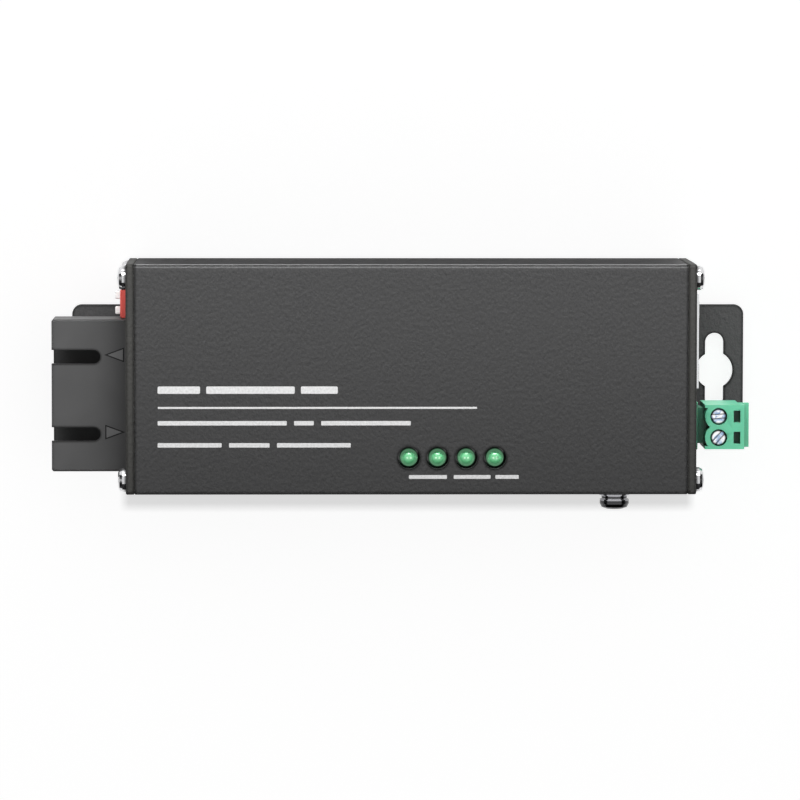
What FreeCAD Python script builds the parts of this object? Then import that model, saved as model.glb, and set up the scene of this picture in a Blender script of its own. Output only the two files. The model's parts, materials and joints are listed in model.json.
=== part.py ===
import FreeCAD, Part
import math
import os

# Industrial fibre media converter: an extruded aluminium case closed by two end plates, on a
# wall-mounting plate with a keyhole ear past each end. Millimetres.
# Origin: centre of the mounting plate's underside. +X runs along the case to the copper end,
# +Z points out of the printed face, +Y across the case towards the jack's side.

V = FreeCAD.Vector

# ---------------------------------------------------------------- driving dimensions
# wall-mounting plate
ear_length = 9.56               # mounting plate past each end of the case
mount_width = 22.0
mount_thickness = 1.2
mount_corner_r = 1.6
keyhole_inset = 4.82            # centre of a keyhole from its end of the plate
keyhole_head_r = 3.1
keyhole_slot_r = 1.55
keyhole_reach = 6.25            # centre of a keyhole to the end of each of its two slots
mount_screw_x = 27.0
mount_screw_y = 6.5

# extruded case and its end plates
case_length = 90.2
case_height = 24.0
case_wall = 1.5
case_edge_r = 0.6
end_plate_thickness = 1.4
seam_chamfer = 0.15             # eased rim at every flat end
boss_wall = 0.95                # metal around a corner screw's hole
boss_corner_r = 0.5
corner_screw_inset = 2.3        # screw centre from the case's side, top or bottom
rib_thickness = 1.0
rib_depth = 1.2

# screws
thread_clearance = 0.05
corner_screw_r = 0.95
corner_screw_length = 7.0
corner_head_r = 2.0
corner_head_height = 1.3
mount_screw_r = 0.95
mount_screw_length = 3.4
mount_screw_head_r = 1.9
ground_screw_r = 1.2
ground_screw_length = 4.6
ground_head_r = 2.4
ground_head_height = 1.55
ground_screw_inset = 13.05      # centre from the copper end's outer face
ground_screw_drop = 5.7         # centre below the printed face
flat_washer_r = 2.5
flat_washer_thickness = 0.5
spring_washer_r = 2.1
spring_washer_thickness = 0.7
spring_washer_gap_deg = 14.0

# circuit board
board_thickness = 1.6
board_side_gap = 0.2
board_end_gap = 0.3
board_rib_gap = 0.1
tail_length = 1.2               # solder tails past the board's underside
hole_clearance = 0.12
window_clearance = 0.2          # end-plate window around a connector

# indicator lamps
lamp_count = 4
lamp_pitch = 4.68
lamp_first_x = -0.39
lamp_inset = 6.0                # lamps' centre line from the case's side
lamp_hole_r = 1.8
lamp_r = 1.5
lamp_flange_r = 1.9
lamp_flange_height = 1.0
lamp_height = 5.3
lamp_recess = 0.5               # top of a lens below the printed face
lamp_leg = 0.5
lamp_leg_pitch = 2.54
holder_margin = 2.25
holder_corner_r = 0.8

# fibre transceiver
sc_pitch = 12.7
sc_side_gap = 1.7               # from the case's inner side
sc_nose = 12.35                 # stands out of the end plate
sc_length = 39.0
sc_standoff = 0.6
sc_foot_r = 0.8
sc_foot_inset = 1.0             # from the housing's side to a foot's centre
sc_foot_front = 2.5             # front feet behind the board's edge
sc_foot_back = 1.5              # rear feet from the housing's back
sc_foot_seat = 0.2              # root of a foot in its wall
sc_edge_r = 0.35
port_width = 9.1
port_height = 7.5
port_depth = 14.0
port_side_wall = 1.6
port_roof = 1.15
keyway_width = 2.25
keyway_length = 8.0
port_back_wall = 2.0
chamber_side_wall = 1.4
board_ledge = 0.4               # step that seats the small board
chamber_roof = 1.6
latch_length = 7.0
latch_thickness = 0.7
latch_gap = 0.5
latch_height = 3.2
latch_hook = 0.4
latch_root = 0.1                # arm's root in the port's back wall
latch_lead = 0.5                # sloped lead at the hook's tip
latch_land = 0.6
barrel_r = 2.2
ferrule_r = 1.25
ferrule_lead = 0.3
ferrule_depth = 1.2             # bore past the sleeve's root
barrel_reach = 6.0              # sleeve into the port
barrel_flange_r = 3.2
barrel_flange = 1.6
can_r = 2.8
can_length = 4.0
optic_board_thickness = 1.0
optic_board_recess = 1.0
optic_board_gap = 0.5           # behind the optics' cans
pin_count = 9
pin_pitch = 2.54
pin_r = 0.25
pin_inset = 2.5
stud_r = 0.7
stud_spread = 8.4                # studs from the transceiver's centre line

# two-way DIP switch
dip_pitch = 2.54
dip_length = 4.7
dip_depth = 5.4
dip_height = 7.0
dip_gap = 0.05                  # from the transceiver's side
dip_proud = 1.2
dip_travel = 1.3
slider_width = 1.27
slider_height = 1.3
slider_proud = 0.9
slider_clearance = 0.08
slider_flange_margin = 0.3
slider_flange_thickness = 1.0
dip_face_thickness = 0.8
dip_pin_spread = 1.9
dip_pin_inset = 1.0
dip_chamfer = 0.2
nib_edge_r = 0.2
dip_side_gap = 3.13             # from the case's inner side

# modular jack
jack_side_gap = 3.5             # from the case's inner side
jack_cheek = 1.88               # beside the plug cavity
jack_depth = 16.0
jack_proud = 0.66
jack_sheet = 0.25
jack_border_side = 1.0
jack_border_top = 1.0
jack_border_bottom = 0.7
jack_leg_width = 1.5
jack_cavity_width = 11.9
jack_cavity_height = 6.75
jack_cavity_floor = 1.5
jack_cavity_depth = 11.05
latch_way_width = 6.2
latch_way_height = 2.15
key_way_width = 3.8
key_way_height = 1.2
lens_width = 3.0
lens_height = 2.8
lens_margin = 0.2               # inside the shell's frame
lens_gap = 0.85                 # above the plug cavity
lens_cover = 1.5                # below the jack's top
lens_edge_r = 0.3
lens_length = 6.3
lens_proud = 0.2
wire_count = 8
wire_pitch = 1.02
wire_width = 0.45
wire_thickness = 0.35
wire_floor = 0.5
wire_slot = 0.6
wire_play = 0.05
wire_front_margin = 1.1         # grooves end behind the insert's face
wire_bend_margin = 1.7
wire_bend = 0.35
wire_fold = 0.75
wire_back_gap = 1.2
tail_inset = 1.4
wire_end_height = 3.4
tail_stagger = 2.54

# pluggable power terminal
pole_count = 2
pole_pitch = 3.5
terminal_side_gap = 5.0         # from the case's inner side
header_side = 0.45              # header's side past its poles
header_edge_r = 0.2
header_height = 7.25
header_depth = 9.2
header_proud = 1.0
header_wall = 0.85
header_back = 1.3
header_pin = 0.8
header_pin_inset = 1.5
header_tail_gap = 0.4
neck_clearance = 0.15
neck_front_gap = 0.4
contact_inset = 0.4             # contact's mouth behind the neck's front
plug_gap = 1.0                  # header's rim to the plug's body
plug_side = 0.15                # plug's side past its poles
plug_drop = 1.0                 # plug's underside below the board's top
plug_height = 11.3
plug_top_length = 6.45
plug_wire_face = 5.8            # wire-entry face from the plug's inner face
plug_lip = 1.8
plug_lip_thickness = 1.1
plug_lip_height = 5.3           # lip's underside above the plug's underside
scallop_r = 2.25
scallop_reach = 1.3
scallop_side = 0.5
screw_from_face = 2.25          # terminal screw's axis from the plug's inner face
well_r = 1.4
well_depth = 1.8
terminal_screw_r = 0.85
terminal_head_r = 1.25
terminal_head_height = 1.45
terminal_slot_width = 0.5
terminal_slot_depth = 0.6
terminal_head_ease = 0.15
terminal_tip_gap = 0.2          # screw's tip above the contact's tongue
terminal_slot_angles = (4.0, 48.0)
thread_pitch = 0.4
clamp_turns = 5
cell_width = 2.9
cell_length = 2.9
cell_clearance = 0.1
cell_floor = 1.7
cage_wall = 0.4
cage_floor = 0.7
cage_top = 1.0
cage_height = 4.85
contact_wall = 0.4
contact_play = 0.1
tongue_width = 1.6
tongue_end_gap = 0.2
wire_entry = 2.4
probe_width = 1.95
probe_length = 1.1
probe_from_face = 4.7
probe_depth = 2.0

# parts on the board
smd_standoff = 0.1
part_gap = 0.7                  # between neighbours on the board
body_ease = 0.15
lead_thickness = 0.2
lead_width = 0.4
lead_root = 0.1
lead_knee = 0.45
lead_ankle = 0.6
lead_reach = 1.1
controller_size = 12.0
controller_height = 1.2
controller_gap = 3.0
controller_offset = 5.0         # from the transceiver's centre line
controller_ease = 0.3
index_mark_r = 0.5
index_mark_inset = 1.5
index_mark_depth = 0.1
transformer_length = 15.0
transformer_width = 9.5
transformer_height = 5.6
transformer_gap = 3.6
transformer_lead_count = 12
transformer_lead_pitch = 1.15
memory_length = 4.9
memory_width = 3.9
memory_height = 1.45
soic_lead_count = 4
soic_lead_pitch = 1.27
inductor_size = 6.8
inductor_height = 4.0
inductor_foot = 0.6
inductor_corner = 0.8
input_can_r = 3.0
input_can_height = 7.5
output_can_r = 2.5
output_can_height = 5.4
can_foot = 0.8
can_bead_z = 1.3                # rolled bead above the board
can_bead_step = 0.2
can_top_ease = 0.3
crystal_length = 10.6
crystal_width = 4.4
crystal_height = 3.4
crystal_rim = 0.4
crystal_base = 0.5
fuse_length = 4.5
fuse_width = 3.2
fuse_height = 1.2
diode_length = 4.2
diode_width = 3.6
diode_height = 2.2
passive_length = 1.6
passive_width = 0.8
passive_height = 0.5
passive_count = 6
passive_pitch = 2.0
passive_ease = 0.1

# ---------------------------------------------------------------- derived places
case_bottom = mount_thickness
case_top = case_bottom + case_height
floor_z = case_bottom + case_wall
roof_z = case_top - case_wall
sc_width = sc_pitch + port_width + 2 * port_side_wall
inner_width = sc_side_gap + sc_width + dip_gap + dip_length + dip_side_gap
inner_y = inner_width / 2
half_width = inner_y + case_wall
sleeve_end = case_length / 2
end_face = sleeve_end + end_plate_thickness
case_mid_z = (case_bottom + case_top) / 2

corner_hole_r = corner_screw_r + thread_clearance
corner_screw_y = half_width - corner_screw_inset
corner_screw_dz = case_height / 2 - corner_screw_inset
boss_reach = corner_hole_r + boss_wall

board_bottom = case_bottom + corner_screw_inset + boss_reach
board_top = board_bottom + board_thickness
board_end = sleeve_end - board_end_gap
tail_z = board_bottom - tail_length

mount_end = end_face + ear_length
keyhole_x = mount_end - keyhole_inset
ground_screw_x = end_face - ground_screw_inset
ground_screw_z = case_top - ground_screw_drop

lamp_top = case_top - lamp_recess
lamp_base = lamp_top - lamp_height
lamp_y = lamp_inset - half_width

sc_center_y = sc_side_gap + sc_width / 2 - inner_y
sc_height = port_height + 2 * port_roof
sc_front = -end_face - sc_nose
sc_rear = sc_front + sc_length
sc_bottom = board_top + sc_standoff
sc_top = sc_bottom + sc_height
sc_mid_z = (sc_bottom + sc_top) / 2
port_back = sc_front + port_depth
chamber_front = port_back + port_back_wall
chamber_rear = sc_rear - chamber_side_wall
optic_board_bottom = sc_bottom + optic_board_recess
optic_board_top = optic_board_bottom + optic_board_thickness
optic_board_front = chamber_front + barrel_flange + can_length + optic_board_gap
optic_board_half = sc_width / 2 - chamber_side_wall + board_ledge
pin_x = sc_rear - pin_inset

dip_front = -end_face - dip_proud
dip_y0 = sc_center_y + sc_width / 2 + dip_gap
dip_y1 = dip_y0 + dip_length
dip_mid_y = (dip_y0 + dip_y1) / 2
slider_z = board_top + dip_height / 2
slider_rest_z = slider_z - dip_travel / 2

jack_width = jack_cavity_width + 2 * jack_cheek
jack_center_y = inner_y - jack_side_gap - jack_width / 2
jack_height = jack_cavity_floor + jack_cavity_height + lens_gap + lens_height + lens_cover
jack_front = end_face + jack_proud
jack_rear = jack_front - jack_depth
jack_top = board_top + jack_height
cavity_z0 = board_top + jack_cavity_floor
cavity_z1 = cavity_z0 + jack_cavity_height
insert_front = jack_front - jack_sheet
lens_z0 = jack_top - lens_cover - lens_height
lens_offset = jack_width / 2 - jack_border_side - lens_margin - lens_width / 2

header_width = pole_count * pole_pitch + 2 * header_side
plug_width = pole_count * pole_pitch + 2 * plug_side
terminal_center_y = terminal_side_gap + header_width / 2 - inner_y
header_front = end_face + header_proud
header_rear = header_front - header_depth
header_top = board_top + header_height
header_pin_z = board_top + header_height / 2
header_tail_x = header_rear - header_tail_gap - header_pin / 2
header_cavity_back = header_rear + header_back

plug_face = header_front + plug_gap
plug_bottom = board_top - plug_drop
plug_top = plug_bottom + plug_height
neck_front = header_cavity_back + neck_front_gap
neck_half_y = header_width / 2 - header_wall - neck_clearance
neck_z0 = board_top + header_wall + neck_clearance
neck_z1 = header_top - header_wall - neck_clearance
screw_x = plug_face + screw_from_face
head_seat_z = plug_top - well_depth
clamp_travel = clamp_turns * thread_pitch
cell_bottom = plug_bottom + cell_floor
cage_bottom = cell_bottom + cell_clearance
cell_top = cage_bottom + cage_height + clamp_travel + cell_clearance
contact_outer = header_pin + 2 * (contact_play + contact_wall)
contact_top = header_pin_z + contact_outer / 2
pole_ys = [terminal_center_y + (0.5 * (pole_count - 1) - i) * pole_pitch for i in range(pole_count)]
lamp_xs = [lamp_first_x + i * lamp_pitch for i in range(lamp_count)]

# places on the board: from the transceiver's back, from the terminal's tails and from the jack
package_reach = memory_width / 2 + lead_reach
rib_y = inner_y - rib_depth
controller_x = sc_rear + controller_gap + controller_size / 2
controller_y = sc_center_y + controller_offset
passive_row_offset = controller_size / 2 + part_gap + passive_length / 2
memory_x = controller_x - controller_size / 2 + package_reach
memory_y = controller_y - passive_row_offset - passive_length / 2 - part_gap - memory_length / 2
crystal_x = controller_x + controller_size / 2 + part_gap + crystal_length / 2
crystal_y = rib_y - part_gap - crystal_width / 2
transformer_x = jack_rear - transformer_gap - transformer_width / 2
transformer_y0 = jack_center_y - transformer_length / 2
output_can_x = transformer_x - transformer_width / 2 - lead_reach - part_gap - output_can_r
fuse_y = part_gap / 2 + fuse_width / 2 - rib_y
diode_y = part_gap / 2 + diode_width / 2 - rib_y
input_can_x = header_tail_x - header_pin - input_can_r
input_can_y = fuse_y + fuse_width / 2 + part_gap / 2 + input_can_r
regulator_x = input_can_x - input_can_r - part_gap - package_reach
regulator_y = transformer_y0 - part_gap - memory_length / 2
inductor_x = regulator_x - package_reach - part_gap - inductor_size / 2
inductor_y = transformer_y0 - part_gap - inductor_size / 2


# ---------------------------------------------------------------- helpers
def block(x0, x1, y0, y1, z0, z1):
    """Box between two corners."""
    return Part.makeBox(x1 - x0, y1 - y0, z1 - z0, V(x0, y0, z0))


def rod(base, direction, radius, length):
    """Cylinder from a base point along a direction."""
    return Part.makeCylinder(radius, length, V(*base), V(*direction))


def round_ended(x0, x1, y, half, z0, z1):
    """Upright form with a square end at x0 and a round end at x1."""
    straight = x1 - half
    low, high = V(straight, y - half, z0), V(straight, y + half, z0)
    edges = [
        Part.makeLine(V(x0, y - half, z0), low),
        Part.Arc(low, V(x1, y, z0), high).toShape(),
        Part.makeLine(high, V(x0, y + half, z0)),
        Part.makeLine(V(x0, y + half, z0), V(x0, y - half, z0)),
    ]
    return Part.Face(Part.Wire(edges)).extrude(V(0, 0, z1 - z0))


def eight_sided(x, y, across_r, z0, z1):
    """Upright eight-sided prism, with its flats at across_r from the centre."""
    reach = across_r / math.cos(math.pi / 8)
    corners = [V(x + reach * math.cos((i + 0.5) * math.pi / 4),
                 y + reach * math.sin((i + 0.5) * math.pi / 4), z0) for i in range(8)]
    outline = Part.makePolygon(corners + corners[:1])
    return Part.Face(outline).extrude(V(0, 0, z1 - z0))


def fused(shapes):
    """Union of several solids, with shared faces merged."""
    first = shapes[0]
    rest = shapes[1:]
    if not rest:
        return first
    return first.fuse(rest).removeSplitter()


def edges_along(shape, axis):
    """Straight edges that run along one axis."""
    found = []
    for edge in shape.Edges:
        if isinstance(edge.Curve, (Part.Line, Part.LineSegment)):
            direction = edge.tangentAt(edge.FirstParameter)
            if abs(abs(direction.dot(axis)) - 1) < 1e-6:
                found.append(edge)
    return found


def rounded(shape, axis, radius):
    """Round every straight edge that runs along one axis."""
    return shape.makeFillet(radius, edges_along(shape, V(*axis)))


def end_edges(shape, x):
    """Edges that lie in the plane at one x."""
    return [e for e in shape.Edges if abs(e.BoundBox.XMin - x) < 1e-6 and abs(e.BoundBox.XMax - x) < 1e-6]


def level_edges(shape, z):
    """Edges that lie in the plane at one z."""
    return [e for e in shape.Edges if abs(e.BoundBox.ZMin - z) < 1e-6 and abs(e.BoundBox.ZMax - z) < 1e-6]


def side_profile(points, y0, y1):
    """Closed outline given as (x, z) points, extruded across the case."""
    corners = [V(x, y0, z) for x, z in points]
    wire = Part.makePolygon(corners + corners[:1])
    return Part.Face(wire).extrude(V(0, y1 - y0, 0))


def turned(points):
    """Solid of revolution about Z from an (r, z) outline that starts and ends on the axis."""
    corners = [V(r, 0, z) for r, z in points]
    wire = Part.makePolygon(corners + corners[:1])
    return Part.Face(wire).revolve(V(0, 0, 0), V(0, 0, 1), 360)


def strip(points, thickness, y0, y1):
    """Bent flat strip whose centre line is given as (x, z) points, with mitred bends."""
    half = thickness / 2
    left = []
    right = []
    for i, (x, z) in enumerate(points):
        before = points[max(i - 1, 0)]
        after = points[min(i + 1, len(points) - 1)]
        incoming = V(x - before[0], 0, z - before[1])
        outgoing = V(after[0] - x, 0, after[1] - z)
        if incoming.Length == 0:
            incoming = V(outgoing)
        if outgoing.Length == 0:
            outgoing = V(incoming)
        incoming.normalize()
        outgoing.normalize()
        normal_in = V(-incoming.z, 0, incoming.x)
        normal_out = V(-outgoing.z, 0, outgoing.x)
        mitre = (normal_in + normal_out).normalize()
        reach = half / mitre.dot(normal_in)
        left.append((x + mitre.x * reach, z + mitre.z * reach))
        right.append((x - mitre.x * reach, z - mitre.z * reach))
    return side_profile(left + right[::-1], y0, y1)


def aimed(shape, position, direction):
    """Turn a shape that was built along +Z to point along a direction, and move it."""
    moved = shape.copy()
    moved.Placement = FreeCAD.Placement(V(*position), FreeCAD.Rotation(V(0, 0, 1), V(*direction)))
    return moved


def pan_head_screw(head_r, head_height, shank_r, length):
    """Cross-recess pan-head screw along Z: the head's seat is at z = 0, the shank goes down."""
    tip = 0.35 * shank_r
    screw = turned([
        (0, -length),
        (shank_r - tip, -length),
        (shank_r, tip - length),
        (shank_r, 0),
        (head_r, 0),
        (head_r, 0.45 * head_height),
        (0.88 * head_r, 0.82 * head_height),
        (0.6 * head_r, head_height),
        (0, head_height),
    ])
    arm = 0.5 * head_r
    half = 0.13 * head_r
    depth = 0.55 * head_height
    across = block(-arm, arm, -half, half, head_height - depth, head_height + 1)
    along = block(-half, half, -arm, arm, head_height - depth, head_height + 1)
    return screw.cut([across, along])


# ---------------------------------------------------------------- case
def corner_screw_places():
    """Centres (y, z) of the four screws in each end plate."""
    return [
        (side * corner_screw_y, case_mid_z + level * corner_screw_dz)
        for side in (-1, 1)
        for level in (-1, 1)
    ]


def mount_screw_places():
    """Centres (x, y) of the screws that hold the mounting plate to the case."""
    return [(sx * mount_screw_x, sy * mount_screw_y) for sx in (-1, 1) for sy in (-1, 1)]


def case_outline(x0, x1):
    """Outer block of the case with its long edges rounded and its ends eased."""
    outline = block(x0, x1, -half_width, half_width, case_bottom, case_top)
    outline = rounded(outline, (1, 0, 0), case_edge_r)
    return outline.makeChamfer(seam_chamfer, end_edges(outline, x0) + end_edges(outline, x1))


def case_cavity():
    """Inside of the extrusion: a box less the four screw bosses and the two board ribs."""
    x0, x1 = -sleeve_end, sleeve_end
    cavity = block(x0, x1, -inner_y, inner_y, floor_z, roof_z)
    for y, z in corner_screw_places():
        side = math.copysign(1, y)
        level = math.copysign(1, z - case_mid_z)
        ys = sorted((side * (half_width + 1), y - side * boss_reach))
        zs = sorted((case_mid_z + level * case_height, z - level * boss_reach))
        boss = rounded(block(x0, x1, ys[0], ys[1], zs[0], zs[1]), (1, 0, 0), boss_corner_r)
        cavity = cavity.cut(boss)
    rib_z = board_top + board_rib_gap
    for side in (-1, 1):
        ys = sorted((side * (inner_y - rib_depth), side * (inner_y + 1)))
        cavity = cavity.cut(block(x0, x1, ys[0], ys[1], rib_z, rib_z + rib_thickness))
    return cavity


def case_sleeve():
    """Extruded tube with lamp holes, tapped holes and the board's guides."""
    sleeve = case_outline(-sleeve_end, sleeve_end).cut(case_cavity())
    holes = []
    for y, z in corner_screw_places():
        for side in (-1, 1):
            start = side * (sleeve_end + 1)
            depth = corner_screw_length + 1
            holes.append(rod((start, y, z), (-side, 0, 0), corner_hole_r, depth))
    for x in lamp_xs:
        holes.append(rod((x, lamp_y, roof_z - 1), (0, 0, 1), lamp_hole_r, case_wall + 2))
    for x, y in mount_screw_places():
        radius = mount_screw_r + thread_clearance
        holes.append(rod((x, y, case_bottom - 1), (0, 0, 1), radius, case_wall + 2))
    ground_start = (ground_screw_x, -half_width - 1, ground_screw_z)
    holes.append(rod(ground_start, (0, 1, 0), ground_screw_r + thread_clearance, ground_screw_length + 1))
    return sleeve.cut(holes)


def end_plate(side, windows):
    """Flat end plate on one end of the case, with its screw holes and connector windows."""
    x0, x1 = sorted((side * sleeve_end, side * end_face))
    plate = case_outline(x0, x1)
    holes = [rod((x0 - 1, y, z), (1, 0, 0), corner_hole_r, end_plate_thickness + 2)
             for y, z in corner_screw_places()]
    for y0, y1, z0, z1 in windows:
        gap = window_clearance
        holes.append(block(x0 - 1, x1 + 1, y0 - gap, y1 + gap, z0 - gap, z1 + gap))
    return plate.cut(fused(holes))


def fibre_end_plate():
    """Plate with one stepped opening that serves the receptacle and the DIP switch beside it."""
    half = sc_width / 2
    receptacle = (sc_center_y - half, sc_center_y + half, sc_bottom, sc_top)
    switch = (dip_y0 - dip_gap, dip_y1, board_top, board_top + dip_height)
    return end_plate(-1, [receptacle, switch])


def copper_end_plate():
    """Plate with windows for the jack and the power header."""
    jack_half = jack_width / 2
    header_half = header_width / 2
    jack = (jack_center_y - jack_half, jack_center_y + jack_half, board_top, jack_top)
    header = (terminal_center_y - header_half, terminal_center_y + header_half, board_top, header_top)
    return end_plate(1, [jack, header])


def end_screws(side):
    """Four pan-head screws of one end plate."""
    screw = pan_head_screw(corner_head_r, corner_head_height, corner_screw_r, corner_screw_length)
    return Part.makeCompound([aimed(screw, (side * end_face, y, z), (side, 0, 0))
                              for y, z in corner_screw_places()])


def mounting_plate():
    """Flat plate with a double keyhole in each ear and countersunk holes under the case."""
    x1, y1 = mount_end, mount_width / 2
    plate = rounded(block(-x1, x1, -y1, y1, 0, mount_thickness), (0, 0, 1), mount_corner_r)
    plate = plate.makeChamfer(seam_chamfer, level_edges(plate, mount_thickness))
    cuts = []
    for side in (-1, 1):
        x = side * keyhole_x
        straight = keyhole_reach - keyhole_slot_r
        depth = mount_thickness + 2
        cuts.append(rod((x, 0, -1), (0, 0, 1), keyhole_head_r, depth))
        cuts.append(block(x - keyhole_slot_r, x + keyhole_slot_r, -straight, straight, -1, depth - 1))
        for end in (-1, 1):
            cuts.append(rod((x, end * straight, -1), (0, 0, 1), keyhole_slot_r, depth))
    for x, y in mount_screw_places():
        cuts.append(countersunk_form(x, y, thread_clearance, mount_thickness + 1))
    return plate.cut(fused(cuts))


def countersunk_form(x, y, gap, length):
    """Countersunk head and shank at one place, with the flat of the head at z = 0."""
    head_depth = mount_screw_head_r - mount_screw_r
    points = [
        (0, -gap),
        (mount_screw_head_r + gap, -gap),
        (mount_screw_head_r + gap, 0),
        (mount_screw_r + gap, head_depth),
        (mount_screw_r + gap, length),
        (0, length),
    ]
    if gap == 0:
        del points[2]
    form = turned(points)
    form.translate(V(x, y, 0))
    return form


def mounting_plate_screws():
    """Four countersunk screws from the plate's underside into the case's floor."""
    head_depth = mount_screw_head_r - mount_screw_r
    socket = rod((0, 0, -1), (0, 0, 1), 0.5 * mount_screw_r, 1 + 0.7 * head_depth)
    screws = []
    for x, y in mount_screw_places():
        recess = socket.copy()
        recess.translate(V(x, y, 0))
        screws.append(countersunk_form(x, y, 0, mount_screw_length).cut(recess))
    return Part.makeCompound(screws)


# ---------------------------------------------------------------- ground terminal
def ground_place(offset):
    """Point on the ground screw's axis at a distance outside the case's side."""
    return (ground_screw_x, -half_width - offset, ground_screw_z)


def ground_flat_washer():
    """Plain washer against the case's side."""
    ring = turned([(0, 0), (flat_washer_r, 0), (flat_washer_r, flat_washer_thickness),
                   (0, flat_washer_thickness)])
    ring = ring.cut(rod((0, 0, -1), (0, 0, 1), ground_screw_r + thread_clearance,
                        flat_washer_thickness + 2))
    return aimed(ring, ground_place(0), (0, -1, 0))


def ground_spring_washer():
    """Split spring washer: a ring with a slanted gap."""
    height = spring_washer_thickness
    ring = rod((0, 0, 0), (0, 0, 1), spring_washer_r, height)
    ring = ring.cut(rod((0, 0, -1), (0, 0, 1), ground_screw_r + thread_clearance, height + 2))
    gap = 2 * spring_washer_r * math.sin(math.radians(spring_washer_gap_deg / 2))
    corners = [V(0, -gap, 0), V(0, 0, 0), V(0, gap, height), V(0, 0, height)]
    slit = Part.Face(Part.makePolygon(corners + corners[:1])).extrude(V(spring_washer_r + 1, 0, 0))
    return aimed(ring.cut(slit), ground_place(flat_washer_thickness), (0, -1, 0))


def ground_screw():
    """Pan-head screw of the ground terminal, through both washers into the case."""
    screw = pan_head_screw(ground_head_r, ground_head_height, ground_screw_r, ground_screw_length)
    return aimed(screw, ground_place(flat_washer_thickness + spring_washer_thickness), (0, -1, 0))


# ---------------------------------------------------------------- fibre transceiver
def port_centers():
    """Centres across the case of the two fibre ports."""
    return [sc_center_y + side * sc_pitch / 2 for side in (1, -1)]


def latch_arm(y, side):
    """Moulded arm that holds a fibre plug, with a hook at its free end."""
    outer = port_width / 2 - latch_gap
    inner = outer - latch_thickness
    tip = port_back - latch_length
    outline = [
        V(port_back + latch_root, y + side * outer, 0),
        V(tip, y + side * outer, 0),
        V(tip, y + side * (inner + latch_hook / 2), 0),
        V(tip + latch_lead, y + side * (inner - latch_hook), 0),
        V(tip + latch_lead + latch_land, y + side * (inner - latch_hook), 0),
        V(tip + latch_lead + latch_land + latch_hook / 2, y + side * inner, 0),
        V(port_back + latch_root, y + side * inner, 0),
    ]
    arm = Part.Face(Part.makePolygon(outline + outline[:1])).extrude(V(0, 0, latch_height))
    arm.translate(V(0, 0, sc_mid_z - latch_height / 2))
    return arm


def transceiver_housing():
    """Moulded housing: two ports with keyways in the nose, and a chamber open underneath."""
    y0, y1 = sc_center_y - sc_width / 2, sc_center_y + sc_width / 2
    body = rounded(block(sc_front, sc_rear, y0, y1, sc_bottom, sc_top), (1, 0, 0), sc_edge_r)
    body = body.makeChamfer(0.8 * sc_edge_r, end_edges(body, sc_front))
    cuts = []
    for y in port_centers():
        half_y, half_z = port_width / 2, port_height / 2
        cuts.append(block(sc_front - 1, port_back, y - half_y, y + half_y,
                          sc_mid_z - half_z, sc_mid_z + half_z))
        cuts.append(round_ended(sc_front - 1, sc_front + keyway_length, y, keyway_width / 2,
                                sc_mid_z, sc_top + 1))
        cuts.append(rod((port_back - 1, y, sc_mid_z), (1, 0, 0), barrel_r + thread_clearance,
                        port_back_wall + 2))
    wall = chamber_side_wall
    cuts.append(block(chamber_front, chamber_rear, y0 + wall, y1 - wall,
                      sc_bottom - 1, sc_top - chamber_roof))
    cuts.append(block(optic_board_front, chamber_rear, sc_center_y - optic_board_half,
                      sc_center_y + optic_board_half, sc_bottom - 1, optic_board_top))
    body = body.cut(cuts)
    additions = [latch_arm(y, side) for y in port_centers() for side in (-1, 1)]
    for x in (sc_foot_front - board_end, sc_rear - sc_foot_back):
        for y in (y0 + sc_foot_inset, y1 - sc_foot_inset):
            additions.append(rod((x, y, board_top), (0, 0, 1), sc_foot_r, sc_standoff + sc_foot_seat))
    return body.fuse(additions).removeSplitter()


def optical_barrel(y):
    """Sleeve for a ferrule, its flange behind the port's wall, and the optics' can."""
    wall = port_back_wall
    points = [
        (0, ferrule_depth),
        (ferrule_r, ferrule_depth),
        (ferrule_r, ferrule_lead - barrel_reach),
        (ferrule_r + ferrule_lead, -barrel_reach),
        (barrel_r, -barrel_reach),
        (barrel_r, wall),
        (barrel_flange_r, wall),
        (barrel_flange_r, wall + barrel_flange),
        (can_r, wall + barrel_flange),
        (can_r, wall + barrel_flange + can_length),
        (0, wall + barrel_flange + can_length),
    ]
    return aimed(turned(points), (port_back, y, sc_mid_z), (1, 0, 0))


def transceiver_board():
    """Small board seated in the housing's underside."""
    half = optic_board_half
    return block(optic_board_front, chamber_rear, sc_center_y - half, sc_center_y + half,
                 optic_board_bottom, optic_board_top)


def transceiver_pin_places():
    """Places (x, y, radius, top) of the signal pins and the two mounting studs."""
    first = sc_center_y - pin_pitch * (pin_count - 1) / 2
    places = [(pin_x, first + i * pin_pitch, pin_r, optic_board_bottom) for i in range(pin_count)]
    for side in (-1, 1):
        stud_x = sc_rear - chamber_side_wall / 2
        places.append((stud_x, sc_center_y + side * stud_spread, stud_r, sc_bottom))
    return places


def transceiver_pins():
    """Signal pins from the small board and studs from the housing, through the main board."""
    return Part.makeCompound([eight_sided(x, y, radius, tail_z, top)
                              for x, y, radius, top in transceiver_pin_places()])


# ---------------------------------------------------------------- DIP switch
def slider_centers():
    """Centres across the case of the two sliders."""
    return [dip_mid_y + side * dip_pitch / 2 for side in (1, -1)]


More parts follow.
